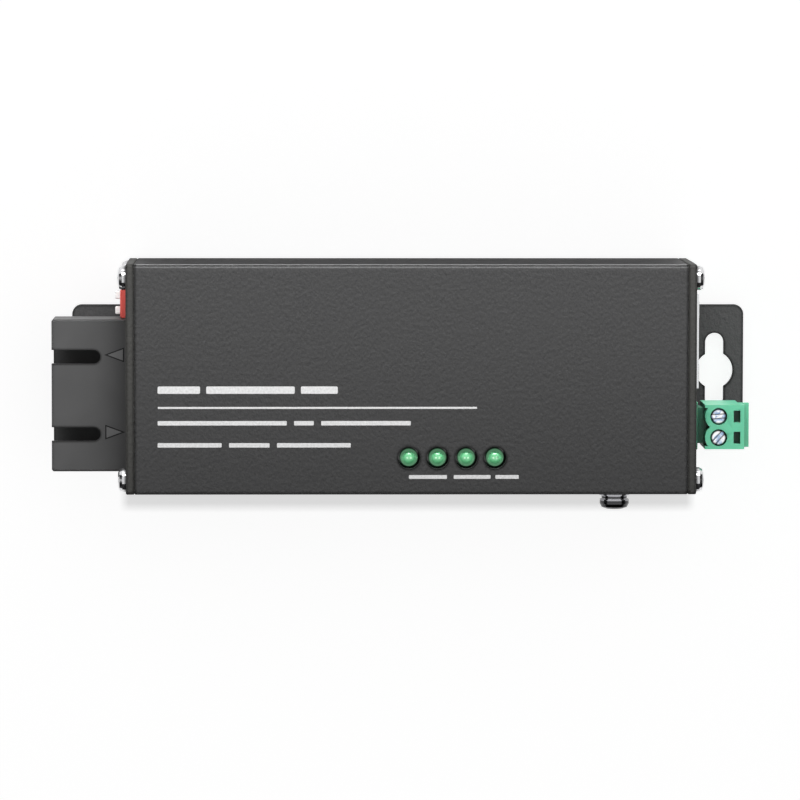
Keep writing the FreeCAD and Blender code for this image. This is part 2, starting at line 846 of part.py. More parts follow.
def dip_switch_body():
    """Switch body with a slot and an inner pocket for each slider."""
    body = block(dip_front, dip_front + dip_depth, dip_y0, dip_y1, board_top, board_top + dip_height)
    body = body.makeChamfer(dip_chamfer, end_edges(body, dip_front))
    cuts = []
    gap = slider_clearance
    for y in slider_centers():
        slot_y = slider_width / 2 + gap
        slot_z = (slider_height + dip_travel) / 2 + gap
        cuts.append(block(dip_front - 1, dip_front + 1, y - slot_y, y + slot_y,
                          slider_z - slot_z, slider_z + slot_z))
        pocket_y = slot_y + slider_flange_margin
        pocket_z = slot_z + slider_flange_margin
        front = dip_front + dip_face_thickness
        cuts.append(block(front, front + slider_flange_thickness + 2 * gap, y - pocket_y, y + pocket_y,
                          slider_z - pocket_z, slider_z + pocket_z))
    return body.cut(fused(cuts))


def dip_slider(y):
    """Slider: a flange held behind the switch's face and a nib that stands out of it."""
    half_y, half_z = slider_width / 2, slider_height / 2
    front = dip_front - slider_proud
    flange_x = dip_front + dip_face_thickness + slider_clearance
    nib = block(front, flange_x + slider_flange_thickness / 2, y - half_y, y + half_y,
                slider_rest_z - half_z, slider_rest_z + half_z)
    nib = nib.makeFillet(nib_edge_r, end_edges(nib, front))
    margin = slider_flange_margin
    flange = block(flange_x, flange_x + slider_flange_thickness, y - half_y - margin,
                   y + half_y + margin, slider_rest_z - half_z - margin, slider_rest_z + half_z + margin)
    return nib.fuse(flange).removeSplitter()


def dip_pin_places():
    """Places (x, y) of the switch's four solder pins."""
    x = dip_pin_inset - board_end
    return [(x + i * dip_pin_spread, y) for i in (0, 1) for y in slider_centers()]


def dip_switch_pins():
    """Four solder pins under the switch."""
    return Part.makeCompound([eight_sided(x, y, pin_r, tail_z, board_top)
                              for x, y in dip_pin_places()])


# ---------------------------------------------------------------- modular jack
def jack_leg_places():
    """Centres (x, y) of the shell's four board legs."""
    offset = (jack_width - jack_sheet) / 2
    return [(jack_front - jack_depth * share, jack_center_y + side * offset)
            for share in (0.35, 0.75) for side in (-1, 1)]


def jack_shell():
    """Folded shield: five sides with a frame around the mouth, and four legs."""
    half = jack_width / 2
    y0, y1 = jack_center_y - half, jack_center_y + half
    shell = rounded(block(jack_rear, jack_front, y0, y1, board_top, jack_top), (1, 0, 0), jack_sheet)
    inside = block(jack_rear + jack_sheet, insert_front, y0 + jack_sheet, y1 - jack_sheet,
                   board_top - 1, jack_top - jack_sheet)
    mouth = block(insert_front - 1, jack_front + 1, y0 + jack_border_side, y1 - jack_border_side,
                  board_top + jack_border_bottom, jack_top - jack_border_top)
    shell = shell.cut([inside, mouth])
    legs = []
    for x, y in jack_leg_places():
        legs.append(block(x - jack_leg_width / 2, x + jack_leg_width / 2, y - jack_sheet / 2,
                          y + jack_sheet / 2, tail_z, board_top + 1))
    return shell.fuse(legs).removeSplitter()


def lens_centers():
    """Centres across the case of the jack's two lamp lenses."""
    return [jack_center_y + side * lens_offset for side in (1, -1)]


def wire_tail_x(index):
    """Solder tail of one contact wire: the tails stand in two staggered rows."""
    return jack_rear + tail_inset + (index % 2) * tail_stagger


def wire_centers():
    """Centres across the case of the contact wires."""
    first = jack_center_y - wire_pitch * (wire_count - 1) / 2
    return [first + i * wire_pitch for i in range(wire_count)]


def jack_insert():
    """Moulded insert: plug cavity with latch way, grooves for the wires and lens pockets."""
    half = jack_width / 2 - jack_sheet
    insert = block(jack_rear + jack_sheet, insert_front, jack_center_y - half, jack_center_y + half,
                   board_top, jack_top - jack_sheet)
    cavity_rear = insert_front - jack_cavity_depth
    mouth = insert_front + 1
    yc = jack_center_y
    latch_top = cavity_z1 + latch_way_height
    cuts = [
        block(cavity_rear, mouth, yc - jack_cavity_width / 2, yc + jack_cavity_width / 2,
              cavity_z0, cavity_z1),
        block(cavity_rear, mouth, yc - latch_way_width / 2, yc + latch_way_width / 2,
              cavity_z1 - 1, latch_top),
        block(cavity_rear, mouth, yc - key_way_width / 2, yc + key_way_width / 2,
              latch_top - 1, latch_top + key_way_height),
    ]
    lens_back = jack_front + lens_proud - lens_length
    for y in lens_centers():
        cuts.append(block(lens_back, mouth, y - lens_width / 2, y + lens_width / 2,
                          lens_z0, lens_z0 + lens_height))
    wire_z0 = board_top + wire_floor
    for i, y in enumerate(wire_centers()):
        tail = wire_tail_x(i)
        y0, y1 = y - wire_slot / 2, y + wire_slot / 2
        front = insert_front - wire_front_margin
        cuts.append(block(tail - wire_slot / 2, front, y0, y1, wire_z0,
                          wire_z0 + wire_thickness + wire_play))
        cuts.append(block(cavity_rear, front, y0, y1, wire_z0, cavity_z0 + wire_thickness))
        cuts.append(block(tail - wire_slot / 2, tail + wire_slot / 2, y0, y1, board_top - 1,
                          wire_z0 + wire_thickness))
    return insert.cut(cuts)


def jack_contacts():
    """Eight contact wires: tail, run along the floor, and spring arm folded back and up."""
    run_z = board_top + wire_floor + wire_thickness / 2
    bend_x = insert_front - wire_bend_margin
    arm_z = run_z + wire_fold
    wires = []
    for i, y in enumerate(wire_centers()):
        tail = wire_tail_x(i)
        points = [
            (tail, tail_z),
            (tail, run_z),
            (bend_x, run_z),
            (bend_x + wire_bend, run_z + wire_bend),
            (bend_x, arm_z),
            (insert_front - jack_cavity_depth + wire_back_gap, board_top + wire_end_height),
        ]
        wires.append(strip(points, wire_thickness, y - wire_width / 2, y + wire_width / 2))
    return Part.makeCompound(wires)


def jack_lens(y):
    """Light pipe with an eased front edge."""
    front = jack_front + lens_proud
    lens = block(front - lens_length, front, y - lens_width / 2, y + lens_width / 2,
                 lens_z0, lens_z0 + lens_height)
    return lens.makeFillet(lens_edge_r, end_edges(lens, front))


# ---------------------------------------------------------------- power terminal
def terminal_header():
    """Header fixed to the board: a box open towards the plug."""
    half = header_width / 2
    yc = terminal_center_y
    header = block(header_rear, header_front, yc - half, yc + half, board_top, header_top)
    header = rounded(header, (1, 0, 0), header_edge_r)
    inner = half - header_wall
    cuts = [block(header_cavity_back, header_front + 1, yc - inner, yc + inner,
                  board_top + header_wall, header_top - header_wall)]
    half_pin = header_pin / 2
    for y in pole_ys:
        cuts.append(block(header_rear - 1, header_cavity_back + 1, y - half_pin, y + half_pin,
                          header_pin_z - half_pin, header_pin_z + half_pin))
    return header.cut(cuts)


def header_pins():
    """Two right-angled pins through the header's back wall."""
    half_pin = header_pin / 2
    points = [
        (header_tail_x, tail_z),
        (header_tail_x, header_pin_z),
        (header_front - header_pin_inset, header_pin_z),
    ]
    return Part.makeCompound([strip(points, header_pin, y - half_pin, y + half_pin) for y in pole_ys])


def terminal_plug():
    """Plug body: neck in the header, a cell, a screw well and a wire entry for each pole."""
    half = plug_width / 2
    yc = terminal_center_y
    wire_x = plug_face + plug_wire_face
    lip_x = wire_x + plug_lip
    top_x = plug_face + plug_top_length
    lip_z = plug_bottom + plug_lip_height
    outline = [
        (plug_face, plug_bottom),
        (wire_x, plug_bottom),
        (wire_x, lip_z),
        (lip_x, lip_z),
        (lip_x, lip_z + plug_lip_thickness),
        (top_x, lip_z + plug_lip_thickness),
        (top_x, plug_top),
        (plug_face, plug_top),
    ]
    body = side_profile(outline, yc - half, yc + half)
    neck = block(neck_front, plug_face + 1, yc - neck_half_y, yc + neck_half_y, neck_z0, neck_z1)
    body = body.fuse(neck)
    side = half - scallop_side
    scallop = block(plug_face - 1, plug_face + scallop_reach, yc - side, yc + side,
                    neck_z1 + neck_clearance, plug_top + 1)
    for y in pole_ys:
        scallop = scallop.cut(rod((screw_x, y, plug_bottom), (0, 0, 1), scallop_r, plug_height + 2))
    cuts = [scallop]
    for y in pole_ys:
        cuts.extend(plug_pole_cuts(y, wire_x))
    return body.cut(cuts).removeSplitter()


def plug_pole_cuts(y, wire_x):
    """Hollows of one pole: cage cell, screw bore and well, contact channel, entries."""
    half_contact = contact_outer / 2
    half_entry = wire_entry / 2
    entry_z = (cage_bottom + cage_floor + contact_top - contact_wall) / 2
    probe_x = plug_face + probe_from_face
    return [
        block(screw_x - cell_length / 2, screw_x + cell_length / 2, y - cell_width / 2,
              y + cell_width / 2, cell_bottom, cell_top),
        rod((screw_x, y, cell_top - 1), (0, 0, 1), terminal_screw_r + thread_clearance, plug_height),
        rod((screw_x, y, head_seat_z), (0, 0, 1), well_r, well_depth + 1),
        block(neck_front - 1, screw_x, y - half_contact, y + half_contact,
              header_pin_z - half_contact, header_pin_z + half_contact),
        block(screw_x, wire_x + 1, y - half_entry, y + half_entry,
              entry_z - half_entry, entry_z + half_entry),
        block(probe_x, probe_x + probe_length, y - probe_width / 2, y + probe_width / 2,
              plug_top - probe_depth, plug_top + 1),
    ]


def plug_contacts():
    """Two socket contacts: a square sleeve over the pin and a tongue into the clamp cage."""
    half = contact_outer / 2
    bore = half - contact_wall
    start = neck_front + contact_inset
    stop = screw_x - cell_length / 2
    tongue_half = tongue_width / 2
    contacts = []
    for y in pole_ys:
        sleeve = block(start, stop, y - half, y + half, header_pin_z - half, header_pin_z + half)
        sleeve = sleeve.cut(block(start - 1, stop + 1, y - bore, y + bore,
                                  header_pin_z - bore, header_pin_z + bore))
        tongue = block(stop - 1, screw_x + cell_length / 2 - tongue_end_gap, y - tongue_half,
                       y + tongue_half, contact_top - contact_wall, contact_top)
        contacts.append(sleeve.fuse(tongue).removeSplitter())
    return Part.makeCompound(contacts)


def terminal_screw(y, slot_angle):
    """Slotted clamp screw: its head sits in the well and its shank hangs into the cage."""
    tip_z = contact_top + terminal_tip_gap - head_seat_z
    head_z = thread_clearance
    top_z = head_z + terminal_head_height
    ease = terminal_head_ease
    screw = turned([
        (0, tip_z),
        (terminal_screw_r, tip_z),
        (terminal_screw_r, head_z),
        (terminal_head_r, head_z),
        (terminal_head_r, top_z - ease),
        (terminal_head_r - ease, top_z),
        (0, top_z),
    ])
    half = terminal_slot_width / 2
    slot = block(-terminal_head_r - 1, terminal_head_r + 1, -half, half,
                 top_z - terminal_slot_depth, top_z + 1)
    slot.rotate(V(0, 0, 0), V(0, 0, 1), slot_angle)
    screw = screw.cut(slot)
    screw.translate(V(screw_x, y, head_seat_z))
    return screw


def clamp_cage(y):
    """Square cage that the screw lifts against the contact's tongue."""
    half_x = cell_length / 2 - cell_clearance
    half_y = cell_width / 2 - cell_clearance
    top = cage_bottom + cage_height
    cage = block(screw_x - half_x, screw_x + half_x, y - half_y, y + half_y, cage_bottom, top)
    inner = half_y - cage_wall
    mouth = block(screw_x - half_x - 1, screw_x + half_x + 1, y - inner, y + inner,
                  cage_bottom + cage_floor, top - cage_top)
    bore = rod((screw_x, y, top - cage_top - 1), (0, 0, 1), terminal_screw_r + thread_clearance,
               cage_top + 2)
    return cage.cut([mouth, bore])


# ---------------------------------------------------------------- lamps
def lamp(x):
    """Lens of one lamp: flange, barrel and dome."""
    dome_z = lamp_top - lamp_r
    body = fused([
        rod((x, lamp_y, lamp_base), (0, 0, 1), lamp_flange_r, lamp_flange_height),
        rod((x, lamp_y, lamp_base), (0, 0, 1), lamp_r, dome_z - lamp_base),
        Part.makeSphere(lamp_r, V(x, lamp_y, dome_z), V(0, 0, 1), 0, 90, 360),
    ])
    flat = block(x + lamp_r, x + lamp_flange_r + 1, lamp_y - lamp_flange_r - 1,
                 lamp_y + lamp_flange_r + 1, lamp_base - 1, lamp_base + lamp_flange_height + 1)
    return body.cut(flat)


def lamp_leg_places():
    """Places (x, y) of the lamps' legs."""
    return [(x + side * lamp_leg_pitch / 2, lamp_y) for x in lamp_xs for side in (-1, 1)]


def lamp_legs():
    """Two square legs under each lamp, through the holder and the board."""
    half = lamp_leg / 2
    return Part.makeCompound([block(x - half, x + half, y - half, y + half, tail_z, lamp_base)
                              for x, y in lamp_leg_places()])


def lamp_holder():
    """Moulded holder that stands the four lamps up to the face."""
    holder = block(lamp_xs[0] - holder_margin, lamp_xs[-1] + holder_margin,
                   lamp_y - holder_margin, lamp_y + holder_margin, board_top, lamp_base)
    holder = rounded(holder, (0, 0, 1), holder_corner_r)
    half = lamp_leg / 2 + hole_clearance
    bores = [block(x - half, x + half, y - half, y + half, board_top - 1, lamp_base + 1)
             for x, y in lamp_leg_places()]
    return holder.cut(bores)


# ---------------------------------------------------------------- board and its parts
def round_tail_places():
    """Places (x, y, radius) of every round hole that a tail needs."""
    places = [(x, y, r) for x, y, r, top in transceiver_pin_places()]
    places += [(x, y, pin_r) for x, y in dip_pin_places()]
    diagonal = math.sqrt(0.5)
    places += [(x, y, lamp_leg * diagonal) for x, y in lamp_leg_places()]
    places += [(header_tail_x, y, header_pin * diagonal) for y in pole_ys]
    wire_diagonal = math.hypot(wire_width, wire_thickness) / 2
    places += [(wire_tail_x(i), y, wire_diagonal) for i, y in enumerate(wire_centers())]
    return places


def circuit_board():
    """Main board in the case's guides, with plated holes for the tails."""
    half = inner_y - board_side_gap
    board = block(-board_end, board_end, -half, half, board_bottom, board_top)
    cuts = [eight_sided(x, y, r + hole_clearance, board_bottom - 1, board_top + 1)
            for x, y, r in round_tail_places()]
    gap = hole_clearance
    for x, y in jack_leg_places():
        cuts.append(block(x - jack_leg_width / 2 - gap, x + jack_leg_width / 2 + gap,
                          y - jack_sheet / 2 - gap, y + jack_sheet / 2 + gap,
                          board_bottom - 1, board_top + 1))
    return board.cut(cuts)


def leaded_package(x, y, length, width, height, leads, pitch):
    """Moulded package with gull-wing leads along its two long sides; the length runs in Y."""
    base = board_top + smd_standoff
    body = block(x - width / 2, x + width / 2, y - length / 2, y + length / 2, base, base + height)
    body = body.makeChamfer(body_ease, level_edges(body, base + height))
    foot_z = board_top + lead_thickness / 2
    knee_z = base + height / 2
    parts = []
    for side in (-1, 1):
        edge = x + side * width / 2
        points = [
            (edge - side * lead_root, knee_z),
            (edge + side * lead_knee, knee_z),
            (edge + side * lead_ankle, foot_z),
            (edge + side * lead_reach, foot_z),
        ]
        for i in range(leads):
            lead_y = y + (i - (leads - 1) / 2) * pitch
            parts.append(strip(points, lead_thickness, lead_y - lead_width / 2, lead_y + lead_width / 2))
    return body.fuse(parts)


def controller_chip():
    """Square converter chip with an index mark at one corner."""
    x, y = controller_x, controller_y
    half = controller_size / 2
    top = board_top + controller_height
    chip = block(x - half, x + half, y - half, y + half, board_top, top)
    chip = chip.makeChamfer(controller_ease, edges_along(chip, V(0, 0, 1)))
    mark = (x - half + index_mark_inset, y + half - index_mark_inset, top - index_mark_depth)
    return chip.cut(rod(mark, (0, 0, 1), index_mark_r, 1))


def network_transformer():
    """Isolation transformer behind the jack."""
    return leaded_package(transformer_x, jack_center_y, transformer_length, transformer_width,
                          transformer_height, transformer_lead_count, transformer_lead_pitch)


def small_package(x, y):
    """Eight-lead package of the memory and the regulator."""
    return leaded_package(x, y, memory_length, memory_width, memory_height, soic_lead_count, soic_lead_pitch)


def electrolytic_can(x, y, radius, height):
    """Capacitor: square foot with two cut corners, and a can with a rolled bead."""
    foot = block(x - radius, x + radius, y - radius, y + radius, board_top, board_top + can_foot)
    corners = [e for e in edges_along(foot, V(0, 0, 1)) if e.BoundBox.XMin > x]
    foot = foot.makeChamfer(0.25 * radius, corners)
    wall_r, neck_r = 0.95 * radius, 0.88 * radius
    can = turned([
        (0, can_foot / 2),
        (wall_r, can_foot / 2),
        (wall_r, can_bead_z),
        (neck_r, can_bead_z + can_bead_step),
        (neck_r, can_bead_z + 2 * can_bead_step),
        (wall_r, can_bead_z + 3 * can_bead_step),
        (wall_r, height - can_top_ease),
        (neck_r, height),
        (0, height),
    ])
    can.translate(V(x, y, board_top))
    return foot.fuse(can).removeSplitter()


def power_inductor():
    """Ferrite drum on a square foot."""
    x, y = inductor_x, inductor_y
    half = inductor_size / 2
    foot = block(x - half, x + half, y - half, y + half, board_top, board_top + inductor_foot)
    foot = foot.makeChamfer(inductor_corner, edges_along(foot, V(0, 0, 1)))
    rim_r, core_r = 0.95 * half, 0.7 * half
    drum = turned([
        (0, inductor_foot / 2),
        (rim_r, inductor_foot / 2),
        (rim_r, 2 * inductor_foot),
        (core_r, 3 * inductor_foot),
        (core_r, inductor_height - 2 * inductor_foot),
        (rim_r, inductor_height - inductor_foot),
        (rim_r, inductor_height),
        (0, inductor_height),
    ])
    drum.translate(V(x, y, board_top))
    return foot.fuse(drum).removeSplitter()


def crystal_layer(margin, height):
    """Round-ended block of the crystal's base or can."""
    half_x, half_y = crystal_length / 2 - margin, crystal_width / 2 - margin
    layer = block(crystal_x - half_x, crystal_x + half_x, crystal_y - half_y, crystal_y + half_y,
                  board_top, board_top + height)
    return rounded(layer, (0, 0, 1), 0.95 * half_y)


def crystal():
    """Metal-can crystal lying along the case."""
    return fused([crystal_layer(0, crystal_base), crystal_layer(crystal_rim, crystal_height)])


def small_block(x, y, length, width, height):
    """Plain surface-mounted body with eased top edges."""
    body = block(x - length / 2, x + length / 2, y - width / 2, y + width / 2,
                 board_top, board_top + height)
    return body.makeChamfer(passive_ease, level_edges(body, board_top + height))


def chip_passives():
    """Two rows of small chip resistors and capacitors beside the controller."""
    first_x = controller_x - passive_pitch * (passive_count - 1) / 2
    chips = []
    for y in (controller_y - passive_row_offset, controller_y + passive_row_offset):
        for i in range(passive_count):
            x = first_x + i * passive_pitch
            chips.append(small_block(x, y, passive_width, passive_length, passive_height))
    return Part.makeCompound(chips)


# ---------------------------------------------------------------- assembly
def all_nodes():
    """Every separate piece under its node name."""
    nodes = {
        "mounting_plate": mounting_plate(),
        "mounting_plate_screws": mounting_plate_screws(),
        "case_sleeve": case_sleeve(),
        "fibre_end_plate": fibre_end_plate(),
        "copper_end_plate": copper_end_plate(),
        "fibre_end_screws": end_screws(-1),
        "copper_end_screws": end_screws(1),
        "ground_flat_washer": ground_flat_washer(),
        "ground_spring_washer": ground_spring_washer(),
        "ground_screw": ground_screw(),
        "circuit_board": circuit_board(),
        "transceiver_housing": transceiver_housing(),
        "transceiver_board": transceiver_board(),
        "transceiver_pins": transceiver_pins(),
        "dip_switch_body": dip_switch_body(),
        "dip_switch_pins": dip_switch_pins(),
        "jack_shell": jack_shell(),
        "jack_insert": jack_insert(),
        "jack_contacts": jack_contacts(),
        "terminal_header": terminal_header(),
        "header_pins": header_pins(),
        "terminal_plug": terminal_plug(),
        "plug_contacts": plug_contacts(),
        "lamp_holder": lamp_holder(),
        "lamp_legs": lamp_legs(),
        "controller_chip": controller_chip(),
        "network_transformer": network_transformer(),
        "memory_chip": small_package(memory_x, memory_y),
        "regulator_chip": small_package(regulator_x, regulator_y),
        "input_capacitor": electrolytic_can(input_can_x, input_can_y, input_can_r, input_can_height),
        "output_capacitor": electrolytic_can(output_can_x, jack_center_y, output_can_r,
                                             output_can_height),
        "power_inductor": power_inductor(),
        "crystal": crystal(),
        "resettable_fuse": small_block(input_can_x, fuse_y, fuse_length, fuse_width, fuse_height),
        "protection_diode": small_block(regulator_x, diode_y, diode_length, diode_width, diode_height),
        "chip_passives": chip_passives(),
    }
    for name, y in zip(("transmitter_barrel", "receiver_barrel"), port_centers()):
        nodes[name] = optical_barrel(y)
    for i, y in enumerate(slider_centers(), 1):
        nodes[f"dip_slider_{i}"] = dip_slider(y)
    for name, y in zip(("jack_lens_left", "jack_lens_right"), lens_centers()):
        nodes[name] = jack_lens(y)
    for i, (y, angle) in enumerate(zip(pole_ys, terminal_slot_angles), 1):
        nodes[f"terminal_screw_{i}"] = terminal_screw(y, angle)
        nodes[f"clamp_cage_{i}"] = clamp_cage(y)
    for i, x in enumerate(lamp_xs, 1):
        nodes[f"lamp_{i}"] = lamp(x)
    return nodes


os.makedirs("parts", exist_ok=True)
for node, shape in all_nodes().items():
    shape.exportStep(f"parts/{node}.step")
    print(f"{node}: {len(shape.Solids)} solid(s), {shape.Volume:.2f} mm3, valid {shape.isValid()}")
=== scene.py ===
import json
import math

import bmesh
import bpy
from mathutils import Matrix, Vector

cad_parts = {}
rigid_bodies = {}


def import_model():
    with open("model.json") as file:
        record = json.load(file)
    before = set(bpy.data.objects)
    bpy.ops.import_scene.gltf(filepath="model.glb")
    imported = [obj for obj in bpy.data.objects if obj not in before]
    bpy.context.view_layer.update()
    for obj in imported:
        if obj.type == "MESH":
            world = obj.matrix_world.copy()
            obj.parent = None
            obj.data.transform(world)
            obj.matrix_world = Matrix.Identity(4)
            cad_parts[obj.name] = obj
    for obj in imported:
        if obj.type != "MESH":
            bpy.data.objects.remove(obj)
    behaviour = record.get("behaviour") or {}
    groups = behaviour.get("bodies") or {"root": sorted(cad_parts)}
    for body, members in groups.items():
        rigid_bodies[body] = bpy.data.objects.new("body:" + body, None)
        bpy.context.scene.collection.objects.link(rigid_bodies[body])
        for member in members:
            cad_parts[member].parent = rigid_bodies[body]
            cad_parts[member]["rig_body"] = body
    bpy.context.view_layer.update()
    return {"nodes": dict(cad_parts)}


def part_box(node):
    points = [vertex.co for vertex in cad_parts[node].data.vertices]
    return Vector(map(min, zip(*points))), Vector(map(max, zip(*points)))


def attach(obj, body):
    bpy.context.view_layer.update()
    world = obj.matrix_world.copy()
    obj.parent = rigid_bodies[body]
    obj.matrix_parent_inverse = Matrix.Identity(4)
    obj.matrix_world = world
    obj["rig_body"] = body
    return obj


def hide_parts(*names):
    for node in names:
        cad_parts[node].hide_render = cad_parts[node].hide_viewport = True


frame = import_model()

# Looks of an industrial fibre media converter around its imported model. Metres, in the
# model's frame: +X towards the copper end, +Z out of the printed face.

MM = 0.001


def mm(*values):
    """Point given in millimetres."""
    return Vector(values) * MM


# ---------------------------------------------------------------- places from the frame
CASE_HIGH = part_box("case_sleeve")[1]
FACE_Z = CASE_HIGH.z
NOSE_LOW, NOSE_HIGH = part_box("transceiver_housing")
PLATE_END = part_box("fibre_end_plate")[0].x
HOLDER_LOW, HOLDER_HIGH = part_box("lamp_holder")
LAMP_Y = (HOLDER_LOW.y + HOLDER_HIGH.y) / 2
LAMP_LENS_SHARE = 1.5 / 1.9         # a lamp's lens against its wider flange
LAMP_NODES = ["lamp_1", "lamp_2", "lamp_3", "lamp_4"]


# ---------------------------------------------------------------- node helpers
OPENNESS_SAMPLES = 8
# openness over which the painted shade in crevices and the painted lines along edges fade in
PAINTED_CREVICE_SHADE_SPAN = (0.45, 0.95)         # openness from the full shade to none
PAINTED_EDGE_SPAN = (0.6, 0.92)
MIX_A, MIX_B, MIX_RESULT = 6, 7, 2  # the Mix node's colour sockets
EDGE_REACH = 1.2
EDGE_PEAK = 4.0
# painted highlight lines, with dark lines between them, along the printed face's +Y edge:
# (millimetres in from the side, tone factor)
PAINTED_EDGE_BANDS = [(EDGE_REACH, 1.0), (0.68, 1.15), (0.5, 2.5), (0.35, 2.6),
              (0.32, 0.0), (0.16, 0.0), (0.14, EDGE_PEAK), (0.012, EDGE_PEAK),
              (0.004, 0.9), (0.0, 0.9)]


class Shader:
    """Small helper around one material's node tree."""

    def __init__(self, name):
        self.material = bpy.data.materials.new(name)
        self.material.use_nodes = True
        self.tree = self.material.node_tree
        self.nodes = self.tree.nodes
        self.bsdf = self.nodes["Principled BSDF"]
        self.coords = self.nodes.new("ShaderNodeTexCoord").outputs["Object"]

    def link(self, source, target):
        self.tree.links.new(source, target)

    def set(self, **values):
        """Set sockets of the Principled shader by name, with _ for a space."""
        for key, value in values.items():
            socket = self.bsdf.inputs[key.replace("_", " ")]
            if socket.type == "RGBA":
                value = (*value, 1.0)
            socket.default_value = value

    def noise(self, size, detail=2.0, roughness=0.5, stretch=(1, 1, 1), distortion=0.0):
        """Noise whose features are about one size across, in metres."""
        mapping = self.nodes.new("ShaderNodeMapping")
        mapping.inputs["Scale"].default_value = stretch
        self.link(self.coords, mapping.inputs["Vector"])
        noise = self.nodes.new("ShaderNodeTexNoise")
        noise.inputs["Scale"].default_value = 1.0 / size
        noise.inputs["Detail"].default_value = detail
        noise.inputs["Roughness"].default_value = roughness
        noise.inputs["Distortion"].default_value = distortion
        self.link(mapping.outputs["Vector"], noise.inputs["Vector"])
        return noise.outputs["Fac"]

    def distance(self, x, y):
        """Distance in metres from an upright axis."""
        flat = self.nodes.new("ShaderNodeMapping")
        flat.inputs["Location"].default_value = (-x, -y, 0.0)
        flat.inputs["Scale"].default_value = (1.0, 1.0, 0.0)
        self.link(self.coords, flat.inputs["Vector"])
        length = self.nodes.new("ShaderNodeVectorMath")
        length.operation = "LENGTH"
        self.link(flat.outputs["Vector"], length.inputs[0])
        return length.outputs["Value"]

    def ramp(self, value, low, high, from_low=0.3, from_high=0.7):
        """Map a noise value or a distance to a range."""
        node = self.nodes.new("ShaderNodeMapRange")
        node.inputs["From Min"].default_value = from_low
        node.inputs["From Max"].default_value = from_high
        node.inputs["To Min"].default_value = low
        node.inputs["To Max"].default_value = high
        self.link(value, node.inputs["Value"])
        return node.outputs["Result"]

    def openness(self, reach, inside=False):
        """1 in the open and less in crevices, or, from inside, less along outer edges."""
        node = self.nodes.new("ShaderNodeAmbientOcclusion")
        node.samples = OPENNESS_SAMPLES
        node.inside = inside
        node.only_local = inside
        node.inputs["Distance"].default_value = reach
        return node.outputs["AO"]

    def shaded(self, tone, crevice=None, edge=None):
        """Tone with painted shade in crevices, and a painted line along outer edges.

        Each is (reach in metres, factor): below 1 is painted shade, above 1 is a painted
        highlight."""
        for inside, value, span in ((False, crevice, PAINTED_CREVICE_SHADE_SPAN), (True, edge, PAINTED_EDGE_SPAN)):
            if value:
                reach, factor = value
                # painted shade, or a painted highlight for a factor above 1, by how open the
                # surface is
                tone = self.dimmed(tone, self.ramp(self.openness(reach, inside),
                                                   factor, 1.0, *span))
        return tone

    def painted_edge_lights(self, y):
        """Tone factor of painted highlight lines, with dark lines between them, along a long
        edge at +Y.
        """
        split = self.nodes.new("ShaderNodeSeparateXYZ")
        self.link(self.coords, split.inputs[0])
        place = self.ramp(split.outputs["Y"], 0.0, 1.0, y - EDGE_REACH * MM, y)
        bands = self.nodes.new("ShaderNodeValToRGB")
        self.link(place, bands.inputs["Fac"])
        stops = bands.color_ramp.elements
        while len(stops) < len(PAINTED_EDGE_BANDS):
            stops.new(0.5)
        for stop, (inset, factor) in zip(stops, PAINTED_EDGE_BANDS):
            stop.position = 1.0 - inset / EDGE_REACH
            stop.color = (factor / EDGE_PEAK,) * 3 + (1.0,)
        return self.ramp(bands.outputs["Color"], 0.0, EDGE_PEAK, 0.0, 1.0)

    def dimmed(self, tone, factor):
        """Colour socket times a number socket."""
        node = self.nodes.new("ShaderNodeVectorMath")
        node.operation = "SCALE"
        self.link(tone, node.inputs[0])
        self.link(factor, node.inputs["Scale"])
        return node.outputs["Vector"]

    def mix(self, factor, first, second):
        """Blend of two colours, each a tuple or a socket."""
        node = self.nodes.new("ShaderNodeMix")
        node.data_type = "RGBA"
        self.link(factor, node.inputs["Factor"])
        for index, value in ((MIX_A, first), (MIX_B, second)):
            if isinstance(value, tuple):
                node.inputs[index].default_value = (*value, 1.0)
            else:
                self.link(value, node.inputs[index])
        return node.outputs[MIX_RESULT]

    def bump(self, height, distance, strength=1.0, under=None):
        """Bump from a height, on top of another bump if one is given."""
        node = self.nodes.new("ShaderNodeBump")
        node.inputs["Distance"].default_value = distance
        node.inputs["Strength"].default_value = strength
        self.link(height, node.inputs["Height"])
        if under:
            self.link(under, node.inputs["Normal"])
        return node.outputs["Normal"]

    def finish(self, color, roughness, normal):
        """Connect the sockets that vary over the surface."""
        self.link(color, self.bsdf.inputs["Base Color"])
        self.link(roughness, self.bsdf.inputs["Roughness"])
        self.link(normal, self.bsdf.inputs["Normal"])
        return self.material


def scaled(color, factor):
    """Colour times a factor."""
    return tuple(c * factor for c in color)


# ---------------------------------------------------------------- materials
CASE_GREY = (0.054, 0.054, 0.0545)
END_GREY = (0.056, 0.0555, 0.0525)
PLATE_GREY = (0.069, 0.069, 0.0695)
SC_GREY = (0.082, 0.082, 0.0825)
BLOCK_GREEN = (0.105, 0.43, 0.265)
BLUED_METAL = (0.42, 0.55, 0.76)
PALE_METAL = (0.98, 0.99, 1.0)
BARE_LACQUER = (0.012, 0.11, 0.04)
TRACK_LACQUER = (0.02, 0.17, 0.065)
THIN_INK = (0.62, 0.62, 0.62)
FULL_INK = (0.78, 0.78, 0.78)
LAMP_BODY = (0.12, 0.5, 0.22)
LAMP_PAINTED_LIGHT_HEART = (0.26, 0.74, 0.38)
LAMP_PAINTED_RIM_REFLECTION = (0.36, 0.9, 0.5)
LAMP_PAINTED_HOLE_SHADE = (0.006, 0.022, 0.011)
LAMP_PAINTED_ELECTRODE_GLINT = (0.6, 0.95, 0.66)
